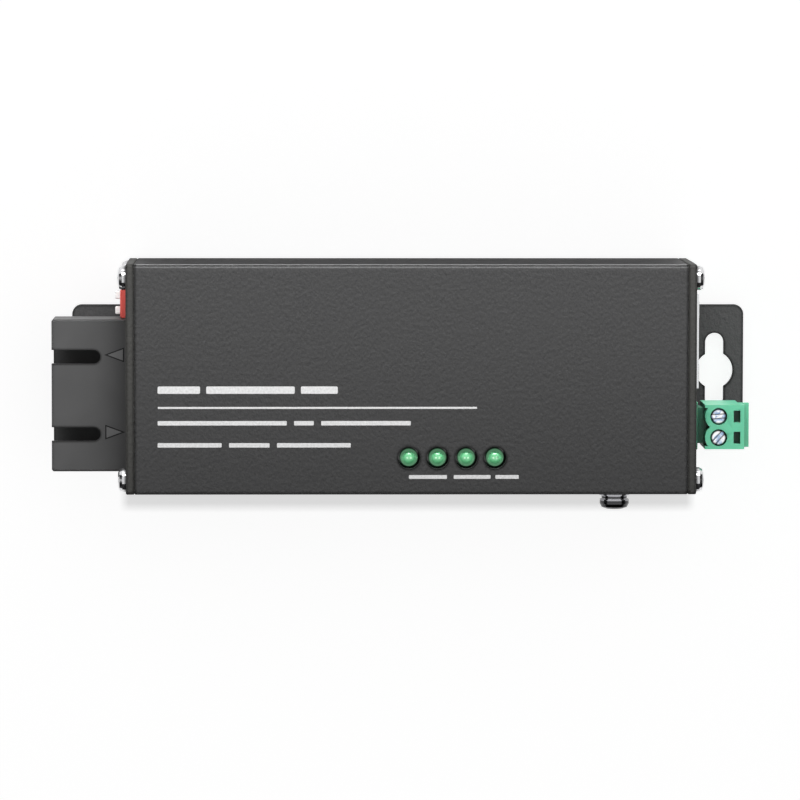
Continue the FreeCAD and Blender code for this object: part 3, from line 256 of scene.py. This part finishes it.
# a lamp's rings, painted light in the centre, a painted reflection on the rim and painted
# shade in its hole: (colour, its share at the start and end, where they are in radii)
LAMP_RINGS = [(LAMP_PAINTED_LIGHT_HEART, (0.55, 0.0), (0.0, 0.55)),
              (LAMP_PAINTED_RIM_REFLECTION, (0.0, 1.0), (0.6, 0.85)),
              (LAMP_PAINTED_HOLE_SHADE, (0.0, 1.0), (0.9, 1.0))]
ELECTRODE_OFFSET = 0.00028
ELECTRODE_BLUR = (0.00006, 0.00022)

COATING_GRAIN = 0.00022
COATING_SPECULAR = 0.12
COATING_ROUGHNESS = (0.5, 0.6)
PIMPLE_TONES = (0.83, 1.2)          # factors of the coating's colour, low and high
MOTTLE_SIZE = 0.012
MOTTLE_TONE = 1.05
MOTTLE_SHARE = 0.4
DIMPLE_SIZE = 3.0                   # times the pimples' size
DIMPLE_DEPTH = 4.2                  # times the pimples' depth
DIMPLE_STRETCH = (1.3, 1, 1)
# painted shade along outer edges
PAINTED_OUTLINE_REACH = 0.0006                    # reach of the darker line along outer edges
WEAVE_SCALE = 260.0
# sizes of the noise patterns and depths of their relief, in metres
FLOW_SIZE = 0.006
CLOUD_SIZE = 0.0009
PATCH_SIZE = 0.0011
WAVE_SIZE = 0.0011
TRACK_SIZE = 0.0016
FILM_SIZE = 0.00035
MARK_SIZE = 0.00012
MARK_DEPTH = 0.000004
WAVE_DEPTH = 0.00001


def textured_coating(name, color, grain, depth, painted_edge_lights_y=None, **shading):
    """Powder coating: small pimples over wider dimples, faint mottling, satin gloss."""
    s = Shader(name)
    fine = s.noise(grain, detail=2.0, roughness=0.6, distortion=0.6)
    broad = s.noise(MOTTLE_SIZE, detail=2.0)
    tone = s.mix(s.ramp(fine, 0.0, 1.0), *(scaled(color, factor) for factor in PIMPLE_TONES))
    tone = s.mix(s.ramp(broad, 0.0, MOTTLE_SHARE), tone, scaled(color, MOTTLE_TONE))
    s.set(Specular_IOR_Level=COATING_SPECULAR)
    # painted highlight lines with dark lines between them along one long edge
    if painted_edge_lights_y:
        tone = s.dimmed(tone, s.painted_edge_lights(painted_edge_lights_y))
    dimples = s.noise(grain * DIMPLE_SIZE, detail=1.5, stretch=DIMPLE_STRETCH)
    bump = s.bump(fine, depth, 0.9, s.bump(dimples, depth * DIMPLE_DEPTH, 0.9))
    return s.finish(s.shaded(tone, **shading), s.ramp(broad, *COATING_ROUGHNESS), bump)


def moulded_plastic(name, color, roughness, grain=0.00025, depth=0.000008, variation=0.05,
                    crevice=None, edge=None, **extra):
    """Moulded plastic with a fine eroded texture and slight flow variation."""
    s = Shader(name)
    fine = s.noise(grain, detail=2.0)
    flow = s.noise(FLOW_SIZE, detail=1.5, distortion=0.4)
    tone = s.mix(s.ramp(flow, 0.0, 1.0), scaled(color, 1 - variation),
                 scaled(color, 1 + variation))
    s.set(**extra)
    tone = s.shaded(tone, crevice, edge)
    gloss = s.ramp(flow, roughness - 0.04, roughness + 0.04)
    return s.finish(tone, gloss, s.bump(fine, depth, 0.7))


def plated_metal(name, color, roughness, stretch=(1, 1, 1), **shading):
    """Plated metal: slight tone and gloss variation, with faint handling marks."""
    s = Shader(name)
    cloud = s.noise(CLOUD_SIZE, detail=3.0, stretch=stretch)
    marks = s.noise(MARK_SIZE, detail=2.0, stretch=stretch)
    s.set(Metallic=1.0)
    tone = s.shaded(s.mix(s.ramp(cloud, 0.0, 1.0), scaled(color, 0.92), color), **shading)
    gloss = s.ramp(cloud, roughness * 0.8, roughness * 1.25)
    return s.finish(tone, gloss, s.bump(marks, MARK_DEPTH, 0.5))


def blued_zinc(name):
    """Zinc plate with a blue passivate: patches of pale and blue metal."""
    s = Shader(name)
    patch = s.noise(PATCH_SIZE, detail=0.5, distortion=0.8)
    marks = s.noise(MARK_SIZE, detail=2.0)
    s.set(Metallic=1.0)
    tone = s.mix(s.ramp(patch, 0.0, 1.0, 0.4, 0.5), BLUED_METAL, PALE_METAL)
    # painted shade along the screw heads' outer edges
    tone = s.shaded(tone, edge=(0.0004, 0.08))
    return s.finish(tone, s.ramp(patch, 0.2, 0.12), s.bump(marks, MARK_DEPTH, 0.5))


def lamp_resin(name, x, y, radius):
    """Green lamp seen from above: milky body with painted light in its centre, a painted
    reflection on its rim, painted shade in its hole and painted highlights on two small
    electrodes, all with a faint glow.
    """
    s = Shader(name)
    cloud = s.noise(CLOUD_SIZE, detail=1.0)
    radial = s.distance(x, y)
    body = s.mix(s.ramp(cloud, 0.0, 1.0), LAMP_BODY, scaled(LAMP_BODY, 1.25))
    # painted rings: light in the centre, a reflection on the rim, shade in the hole
    for color, shares, (start, end) in LAMP_RINGS:
        body = s.mix(s.ramp(radial, *shares, start * radius, end * radius), body, color)
    # painted highlights where the two electrodes glint
    for side in (-1, 1):
        electrode_glint = s.distance(x + side * ELECTRODE_OFFSET, y)
        body = s.mix(s.ramp(electrode_glint, 1.0, 0.0, *ELECTRODE_BLUR), body, LAMP_PAINTED_ELECTRODE_GLINT)
    s.set(IOR=1.5, Coat_Weight=0.6, Coat_Roughness=0.04, Emission_Strength=0.21)
    s.link(body, s.bsdf.inputs["Emission Color"])
    return s.finish(body, s.ramp(cloud, 0.08, 0.14), s.bump(cloud, WAVE_DEPTH, 0.3))


def tinted_resin(name, color, transmission, roughness):
    """Cast resin lens: tinted, clear to milky, with faint waviness."""
    s = Shader(name)
    wave = s.noise(WAVE_SIZE, detail=1.0)
    s.set(Transmission_Weight=transmission, IOR=1.5, Coat_Weight=0.3, Coat_Roughness=0.03)
    tone = s.mix(s.ramp(wave, 0.0, 1.0), scaled(color, 0.92), scaled(color, 1.06))
    gloss = s.ramp(wave, roughness, roughness * 1.6)
    return s.finish(tone, gloss, s.bump(wave, WAVE_DEPTH, 0.4))


def solder_resist():
    """Green board lacquer with a faint weave of the laminate below it."""
    s = Shader("solder_resist")
    weave = s.nodes.new("ShaderNodeTexWave")
    weave.inputs["Scale"].default_value = WEAVE_SCALE
    weave.inputs["Distortion"].default_value = 1.5
    s.link(s.coords, weave.inputs["Vector"])
    tracks = s.noise(TRACK_SIZE, detail=0.0, stretch=(1, 3, 1))
    tone = s.mix(s.ramp(tracks, 0.0, 1.0, 0.48, 0.52), BARE_LACQUER, TRACK_LACQUER)
    s.set(Coat_Weight=0.4, Coat_Roughness=0.15)
    bump = s.bump(weave.outputs["Fac"], WAVE_DEPTH, 0.3)
    return s.finish(tone, s.ramp(tracks, 0.3, 0.4), bump)


def printed_ink():
    """White screen print: slightly uneven film."""
    s = Shader("printed_ink")
    film = s.noise(FILM_SIZE, detail=3.0)
    tone = s.mix(s.ramp(film, 0.0, 1.0), THIN_INK, FULL_INK)
    return s.finish(tone, s.ramp(film, 0.5, 0.6), s.bump(film, WAVE_DEPTH, 0.5))


MATERIALS = {
    # the coatings carry painted shade along their outer edges
    "case": textured_coating("case_coating", CASE_GREY, COATING_GRAIN, 0.00004,
                             painted_edge_lights_y=CASE_HIGH.y, edge=(PAINTED_OUTLINE_REACH, 0.15)),
    "end": textured_coating("end_plate_coating", END_GREY, COATING_GRAIN, 0.00003,
                            edge=(PAINTED_OUTLINE_REACH, 0.15)),
    # the plate also carries painted shade in its crevices, such as beside the jack
    "plate": textured_coating("mounting_plate_coating", PLATE_GREY, 0.00025, 0.00004,
                              crevice=(0.003, 0.3), edge=(PAINTED_OUTLINE_REACH, 0.1)),
    # painted shade: darker towards the end plate and in the slots, and along outer edges
    "receptacle": moulded_plastic("receptacle_plastic", SC_GREY, 0.42, crevice=(0.011, 0.5),
                                  edge=(0.0005, 0.25), Specular_IOR_Level=0.14),
    "arrow": moulded_plastic("receptacle_arrow", scaled(SC_GREY, 1.2), 0.42,
                             Specular_IOR_Level=0.14),
    # painted shade along the arrows' edges: a nearly black band under each raised arrow
    "edge_shade_band": moulded_plastic("receptacle_groove", scaled(SC_GREY, 0.12), 0.5,
                              Specular_IOR_Level=0.1),
    "black": moulded_plastic("black_plastic", (0.02, 0.02, 0.021), 0.45),
    # painted shade in the gaps between plug and header, in the wire windows and round the
    # screws
    "green_block": moulded_plastic("terminal_plastic", BLOCK_GREEN, 0.38, variation=0.04,
                                   crevice=(0.002, 0.28), Subsurface_Weight=0.08,
                                   Subsurface_Scale=0.001),
    "red": moulded_plastic("switch_red_plastic", (0.66, 0.085, 0.068), 0.35),
    "white": moulded_plastic("slider_white_plastic", (0.93, 0.93, 0.92), 0.35),
    # painted shade along the screw heads' outer edges
    "nickel": plated_metal("bright_nickel", (0.8, 0.8, 0.81), 0.1, edge=(PAINTED_OUTLINE_REACH, 0.1)),
    # painted highlights along the edges of the ground screw and its washers
    "black_nickel": plated_metal("black_nickel", (0.055, 0.055, 0.058), 0.16,
                                 edge=(0.0003, 10.0)),
    "blue_zinc": blued_zinc("blue_zinc"),
    "jack_steel": plated_metal("shield_steel", (0.78, 0.79, 0.8), 0.22, stretch=(1, 6, 1)),
    "tin": plated_metal("tin_plate", (0.72, 0.73, 0.74), 0.3),
    "gold": plated_metal("gold_plate", (0.9, 0.64, 0.27), 0.18),
    "aluminium": plated_metal("drawn_aluminium", (0.8, 0.81, 0.82), 0.25),
    "lens": tinted_resin("jack_lens_resin", (0.78, 0.82, 0.78), 0.7, 0.1),
    "board": solder_resist(),
    "epoxy": moulded_plastic("chip_epoxy", (0.018, 0.018, 0.019), 0.5),
    "ferrite": moulded_plastic("sintered_ferrite", (0.045, 0.045, 0.05), 0.6, 0.0004, 0.00002),
    "ceramic": moulded_plastic("fired_ceramic", (0.36, 0.27, 0.18), 0.4),
    "ink": printed_ink(),
}

NODE_MATERIALS = {
    "case": ["case_sleeve"],
    "end": ["fibre_end_plate", "copper_end_plate"],
    "plate": ["mounting_plate"],
    "receptacle": ["transceiver_housing"],
    "black": ["jack_insert", "lamp_holder"],
    "green_block": ["terminal_header", "terminal_plug"],
    "red": ["dip_switch_body"],
    "white": ["dip_slider_1", "dip_slider_2"],
    "nickel": ["fibre_end_screws", "copper_end_screws", "mounting_plate_screws"],
    "black_nickel": ["ground_screw", "ground_spring_washer", "ground_flat_washer"],
    "blue_zinc": ["terminal_screw_1", "terminal_screw_2"],
    "jack_steel": ["jack_shell"],
    "tin": ["transceiver_pins", "dip_switch_pins", "header_pins", "plug_contacts", "lamp_legs",
            "clamp_cage_1", "clamp_cage_2", "transmitter_barrel", "receiver_barrel"],
    "gold": ["jack_contacts"],
    "aluminium": ["crystal", "input_capacitor", "output_capacitor"],
    "lens": ["jack_lens_left", "jack_lens_right"],
    "board": ["circuit_board", "transceiver_board"],
    "epoxy": ["controller_chip", "network_transformer", "memory_chip", "regulator_chip",
              "protection_diode"],
    "ferrite": ["power_inductor"],
    "ceramic": ["resettable_fuse", "chip_passives"],
}


def dress(obj, material):
    """Give an object one material."""
    obj.data.materials.clear()
    obj.data.materials.append(material)


def dress_lamp(node):
    """Resin centred on the lamp's own axis."""
    low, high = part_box(node)
    flange = (high.y - low.y) / 2   # round, apart from a flat on the copper side
    resin = lamp_resin(node + "_resin", low.x + flange, LAMP_Y, flange * LAMP_LENS_SHARE)
    dress(frame["nodes"][node], resin)


for key, names in NODE_MATERIALS.items():
    for node_name in names:
        dress(frame["nodes"][node_name], MATERIALS[key])
for node_name in LAMP_NODES:
    dress_lamp(node_name)


# ---------------------------------------------------------------- mesh helpers
CORNER_STEPS = 5


def new_object(name, mesh_builder):
    """Object from a bmesh builder, linked into the scene."""
    mesh = bpy.data.meshes.new(name)
    bm = bmesh.new()
    mesh_builder(bm)
    bm.to_mesh(mesh)
    bm.free()
    obj = bpy.data.objects.new(name, mesh)
    bpy.context.scene.collection.objects.link(obj)
    return obj


def new_piece(name, mesh_builder, material, body):
    """Piece from a bmesh builder, dressed and riding on a body."""
    piece = new_object(name, mesh_builder)
    dress(piece, material)
    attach(piece, body)


def rounded_outline(x0, x1, y0, y1, radius):
    """Corner points of a rounded rectangle."""
    points = []
    for cx, cy, start in ((x1 - radius, y1 - radius, 0), (x0 + radius, y1 - radius, 90),
                          (x0 + radius, y0 + radius, 180), (x1 - radius, y0 + radius, 270)):
        for i in range(CORNER_STEPS + 1):
            angle = math.radians(start + 90 * i / CORNER_STEPS)
            points.append((cx + radius * math.cos(angle), cy + radius * math.sin(angle)))
    return points


def add_prism(bm, outline, z0, z1):
    """Closed prism over an (x, y) outline."""
    low = [bm.verts.new((x, y, z0)) for x, y in outline]
    high = [bm.verts.new((x, y, z1)) for x, y in outline]
    bm.faces.new(high)
    bm.faces.new(low[::-1])
    count = len(outline)
    for i in range(count):
        j = (i + 1) % count
        bm.faces.new((low[i], low[j], high[j], high[i]))
    bmesh.ops.recalc_face_normals(bm, faces=bm.faces)


MERGE_DISTANCE = 1e-6
FLAT_ANGLE = math.radians(1.0)
SHARP_ANGLE = math.radians(35.0)
ROLL_SEGMENTS = 2


def softened(node, width):
    """Copy of a CAD node with its sharp edges rolled over; it stands for the node."""
    source = frame["nodes"][node]
    mesh = source.data.copy()
    piece = bpy.data.objects.new(node + "_soft", mesh)
    bpy.context.scene.collection.objects.link(piece)
    bm = bmesh.new()
    bm.from_mesh(mesh)
    bmesh.ops.remove_doubles(bm, verts=bm.verts, dist=MERGE_DISTANCE)
    bmesh.ops.dissolve_limit(bm, angle_limit=FLAT_ANGLE, verts=bm.verts, edges=bm.edges)
    for face in bm.faces:
        face.smooth = True
    bm.to_mesh(mesh)
    bm.free()
    mesh.set_sharp_from_angle(angle=SHARP_ANGLE)
    bevel = piece.modifiers.new("roll", "BEVEL")
    bevel.width = width
    bevel.segments = ROLL_SEGMENTS
    bevel.limit_method = "ANGLE"
    bevel.angle_limit = SHARP_ANGLE
    bevel.harden_normals = True
    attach(piece, source["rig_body"])
    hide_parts(node)


# ---------------------------------------------------------------- printed face
INK_THICKNESS = 0.00002
BAR_CORNER = 0.18                   # a bar's corner radius, as a share of its height
# rows of plain bars: (y centre, bar height, [(x0, x1), ...]) in millimetres
PRINT_ROWS = [
    (-1.68, 1.2, [(-41.3, -34.4), (-33.4, -19.0), (-18.0, -12.0)]),
    (-4.58, 0.32, [(-41.27, 10.67)]),
    (-7.08, 0.72, [(-41.3, -20.3), (-19.1, -15.9), (-14.7, -0.1)]),
    (-10.68, 0.72, [(-41.3, -30.9), (-29.7, -23.1), (-21.9, -9.9)]),
    (-15.87, 0.62, [(-0.4, 5.8), (6.9, 12.9), (13.7, 17.5)]),
]


def print_bars(bm):
    """Plain bars in place of the printed words, and the ruled line."""
    for y, height, spans in PRINT_ROWS:
        for x0, x1 in spans:
            outline = rounded_outline(x0 * MM, x1 * MM, (y - height / 2) * MM,
                                      (y + height / 2) * MM, BAR_CORNER * height * MM)
            add_prism(bm, outline, FACE_Z - INK_THICKNESS, FACE_Z + INK_THICKNESS)


new_piece("face_print", print_bars, MATERIALS["ink"], "converter")


# ---------------------------------------------------------------- moulded arrows
ARROW_CENTERS = (1.9 * MM, 2.12 * MM)   # out from the fibre end plate
ARROW_LENGTH = 2.5 * MM
ARROW_WIDTH = 1.85 * MM
ARROW_SHIFT = 0.33 * MM             # both sit off their port's centre line
ARROW_SHADE_WIDTH = 0.2 * MM
ARROW_SHADE_RISE = 0.01 * MM
ARROW_RISE = 0.05 * MM
PORT_OFFSET = 6.35 * MM


def arrow_outline(x, y, direction, margin):
    """Corners of a triangle that points along X, grown all round by a margin."""
    slope = math.hypot(ARROW_WIDTH / 2, ARROW_LENGTH)
    tip = ARROW_LENGTH / 2 + margin * slope / (ARROW_WIDTH / 2)
    base = ARROW_LENGTH / 2 + margin
    half = (tip + base) * ARROW_WIDTH / 2 / ARROW_LENGTH
    return [(x + direction * tip, y), (x - direction * base, y + half),
            (x - direction * base, y - half)]


def add_arrows(bm, margin, rise):
    """Two triangles beside the ports: one points out and one points in."""
    middle = (NOSE_LOW.y + NOSE_HIGH.y) / 2 + ARROW_SHIFT
    for side, direction, out in ((1, -1, ARROW_CENTERS[0]), (-1, 1, ARROW_CENTERS[1])):
        outline = arrow_outline(PLATE_END - out, middle + side * PORT_OFFSET,
                                direction, margin)
        add_prism(bm, outline, NOSE_HIGH.z - ARROW_RISE, NOSE_HIGH.z + rise)


# a dark band round each arrow is painted shade along its edges
new_piece("arrow_grooves", lambda bm: add_arrows(bm, ARROW_SHADE_WIDTH, ARROW_SHADE_RISE),
          MATERIALS["edge_shade_band"], "converter")
new_piece("moulded_arrows", lambda bm: add_arrows(bm, 0.0, ARROW_RISE),
          MATERIALS["arrow"], "converter")


# ---------------------------------------------------------------- softened mouldings
# width of each rolled edge in millimetres
ROLLS = [("terminal_plug", 0.12), ("terminal_header", 0.12), ("dip_switch_body", 0.08),
         ("dip_slider_1", 0.4), ("dip_slider_2", 0.4), ("jack_insert", 0.08)]

for node_name, roll in ROLLS:
    softened(node_name, roll * MM)


# ---------------------------------------------------------------- floor, lights and camera
def rays_that_see_the_backdrop(tree):
    """Factor that is 1 for camera, glossy and transmission rays."""
    path = tree.nodes.new("ShaderNodeLightPath")
    seen = path.outputs["Is Camera Ray"]
    for name in ("Is Glossy Ray", "Is Transmission Ray"):
        either = tree.nodes.new("ShaderNodeMath")
        either.operation = "MAXIMUM"
        tree.links.new(seen, either.inputs[0])
        tree.links.new(path.outputs[name], either.inputs[1])
        seen = either.outputs[0]
    return seen


FLOOR_HALF = 1.6
FLOOR_GAP = 0.0002
FLOOR_SHADE_SHARE = 0.7             # share of the floor's white that takes the shadow
FLOOR_WHITE = (0.95, 0.95, 0.95, 1)
FLOOR_GLOW = 1.99


def add_floor_face(bm):
    """One square face around the origin."""
    bmesh.ops.create_grid(bm, x_segments=1, y_segments=1, size=FLOOR_HALF)


def make_floor():
    """White floor: part even glow, part lit, so that it takes the object's shadow."""
    floor = new_object("floor", add_floor_face)
    floor.location.z = -FLOOR_GAP
    material = bpy.data.materials.new("floor")
    material.use_nodes = True
    tree = material.node_tree
    tree.nodes.clear()
    output = tree.nodes.new("ShaderNodeOutputMaterial")
    diffuse = tree.nodes.new("ShaderNodeBsdfDiffuse")
    diffuse.inputs["Color"].default_value = FLOOR_WHITE
    glow = tree.nodes.new("ShaderNodeEmission")
    glow.inputs["Color"].default_value = (1, 1, 1, 1)
    glow.inputs["Strength"].default_value = FLOOR_GLOW
    share = tree.nodes.new("ShaderNodeMath")
    share.operation = "MULTIPLY"
    share.inputs[1].default_value = 1.0 - FLOOR_SHADE_SHARE
    tree.links.new(rays_that_see_the_backdrop(tree), share.inputs[0])
    mix = tree.nodes.new("ShaderNodeMixShader")
    tree.links.new(share.outputs[0], mix.inputs["Fac"])
    tree.links.new(diffuse.outputs[0], mix.inputs[1])
    tree.links.new(glow.outputs[0], mix.inputs[2])
    tree.links.new(mix.outputs[0], output.inputs["Surface"])
    floor.data.materials.append(material)
    return floor


def dark_flag(name, place, turns, width, height):
    """Black card that only reflections see, so that bright metal has contrast."""
    x, z = width / 2, height / 2
    corners = ((-x, 0.0, -z), (x, 0.0, -z), (x, 0.0, z), (-x, 0.0, z))
    flag = new_object(name, lambda bm: bm.faces.new([bm.verts.new(co) for co in corners]))
    flag.location = place
    flag.rotation_euler = [math.radians(turn) for turn in turns]
    dress(flag, MATERIALS["black"])
    for kind in ("camera", "diffuse", "shadow", "transmission"):
        setattr(flag, "visible_" + kind, False)


WORLD_FILL = 0.22


def make_world():
    """White surroundings for direct rays, and an even fill for diffuse ones."""
    world = bpy.data.worlds.new("studio")
    bpy.context.scene.world = world
    world.use_nodes = True
    tree = world.node_tree
    background = tree.nodes["Background"]
    background.inputs["Color"].default_value = (1, 1, 1, 1)
    level = tree.nodes.new("ShaderNodeMapRange")
    level.inputs["To Min"].default_value = WORLD_FILL
    level.inputs["To Max"].default_value = 1.0
    tree.links.new(rays_that_see_the_backdrop(tree), level.inputs["Value"])
    tree.links.new(level.outputs["Result"], background.inputs["Strength"])


def area_light(name, place, target, width, height, power):
    """Soft rectangular lamp that the camera doesn't see."""
    data = bpy.data.lights.new(name, "AREA")
    data.shape = "RECTANGLE"
    data.size = width
    data.size_y = height
    data.energy = power
    lamp = bpy.data.objects.new(name, data)
    lamp.location = place
    aim = Vector(target) - Vector(place)
    lamp.rotation_euler = aim.to_track_quat("-Z", "Y").to_euler()
    lamp.visible_camera = False
    bpy.context.scene.collection.objects.link(lamp)
    return lamp


def collected(name, objects):
    """New collection of some objects, for a lamp's linking."""
    group = bpy.data.collections.new(name)
    for obj in objects:
        group.objects.link(obj)
    return group


def light_only(lamp, objects):
    """Keep a lamp's light to some objects."""
    lamp.light_linking.receiver_collection = collected(lamp.name + "_receivers", objects)


BODY_AIM = (0.0, 0.0, 0.012)
# lamps: (name, place, target, width, height, power)
KEY = ("key", (0.0, 0.07, 0.087), (0.0, 0.006, 0.024), 0.3, 0.03, 0.0705)
KEY_SPREAD = math.radians(64.0)
RIM = ("rim", (0.0, 0.45, 0.1), BODY_AIM, 0.6, 0.12, 0.45)
END = ("end", (0.12, 0.16, 0.1), (0.058, -0.006, 0.014), 0.08, 0.08, 0.3)
END_NODES = ("terminal_", "clamp_", "jack_")    # what the end lamp lights
FILLS = [("front_fill", (0.0, -0.5, 0.06), BODY_AIM, 0.6, 0.12, 0.5),
         ("fibre_fill", (-0.45, 0.0, 0.12), BODY_AIM, 0.12, 0.12, 0.45),
         ("copper_fill", (0.45, 0.0, 0.08), BODY_AIM, 0.12, 0.12, 0.4)]
TOP = ("top", (0.0, 0.18, 1.15), (0.0, 0.0, 0.0), 0.07, 0.07, 5.4)
TOP_BLOCKERS = ("case_sleeve", "fibre_end_plate", "copper_end_plate")
# black cards: (name, place, turns in degrees, width, height)
FLAGS = [("flag_low", (0.0, -0.12, 0.085), (0, 0, 0), 0.5, 0.17),
         ("flag_high", (0.0, 0.2, 0.18), (0, 0, 0), 0.6, 0.03),
         ("flag_fibre", (-0.3, 0.0, 0.1), (0, 0, 90), 0.4, 0.2),
         ("flag_copper", (0.3, 0.0, 0.1), (0, 0, 90), 0.4, 0.2),
         ("flag_floor", (0.0, 0.05, 0.0004), (90, 0, 0), 0.09, 0.06)]

CAMERA_PLACE = mm(-21.0, 58.9, 909.6)
CAMERA_TILT = (-0.0702, -0.0216, -0.0004)
FOCAL_PIXELS = 5448.0
SENSOR_WIDTH = 36.0
IMAGE_WIDTH = 800.0


def make_camera():
    """Long lens almost straight above the printed face."""
    data = bpy.data.cameras.new("camera")
    data.sensor_width = SENSOR_WIDTH
    data.lens = FOCAL_PIXELS * SENSOR_WIDTH / IMAGE_WIDTH
    data.clip_start = 0.01
    data.clip_end = 20.0
    camera = bpy.data.objects.new("camera", data)
    about_x, about_y, about_z = CAMERA_TILT
    turn = (Matrix.Rotation(about_z, 4, "Z") @ Matrix.Rotation(about_x, 4, "X")
            @ Matrix.Rotation(about_y, 4, "Y"))
    camera.matrix_world = Matrix.Translation(CAMERA_PLACE) @ turn
    bpy.context.scene.collection.objects.link(camera)
    bpy.context.scene.camera = camera


parts = [obj for obj in bpy.context.scene.objects if obj.type == "MESH"]
floor = make_floor()
make_world()
key_lamp = area_light(*KEY)
key_lamp.data.spread = KEY_SPREAD
light_only(key_lamp, parts)
light_only(area_light(*RIM), parts)
light_only(area_light(*END), [obj for obj in parts if obj.name.startswith(END_NODES)])
for lamp in FILLS:
    fill = area_light(*lamp)
    fill.visible_glossy = False
    light_only(fill, parts)
top_lamp = area_light(*TOP)
light_only(top_lamp, [floor])
top_lamp.light_linking.blocker_collection = collected(
    "top_blockers", [frame["nodes"][node] for node in TOP_BLOCKERS])
for flag in FLAGS:
    dark_flag(*flag)
make_camera()
bpy.context.scene.view_settings.view_transform = "Standard"
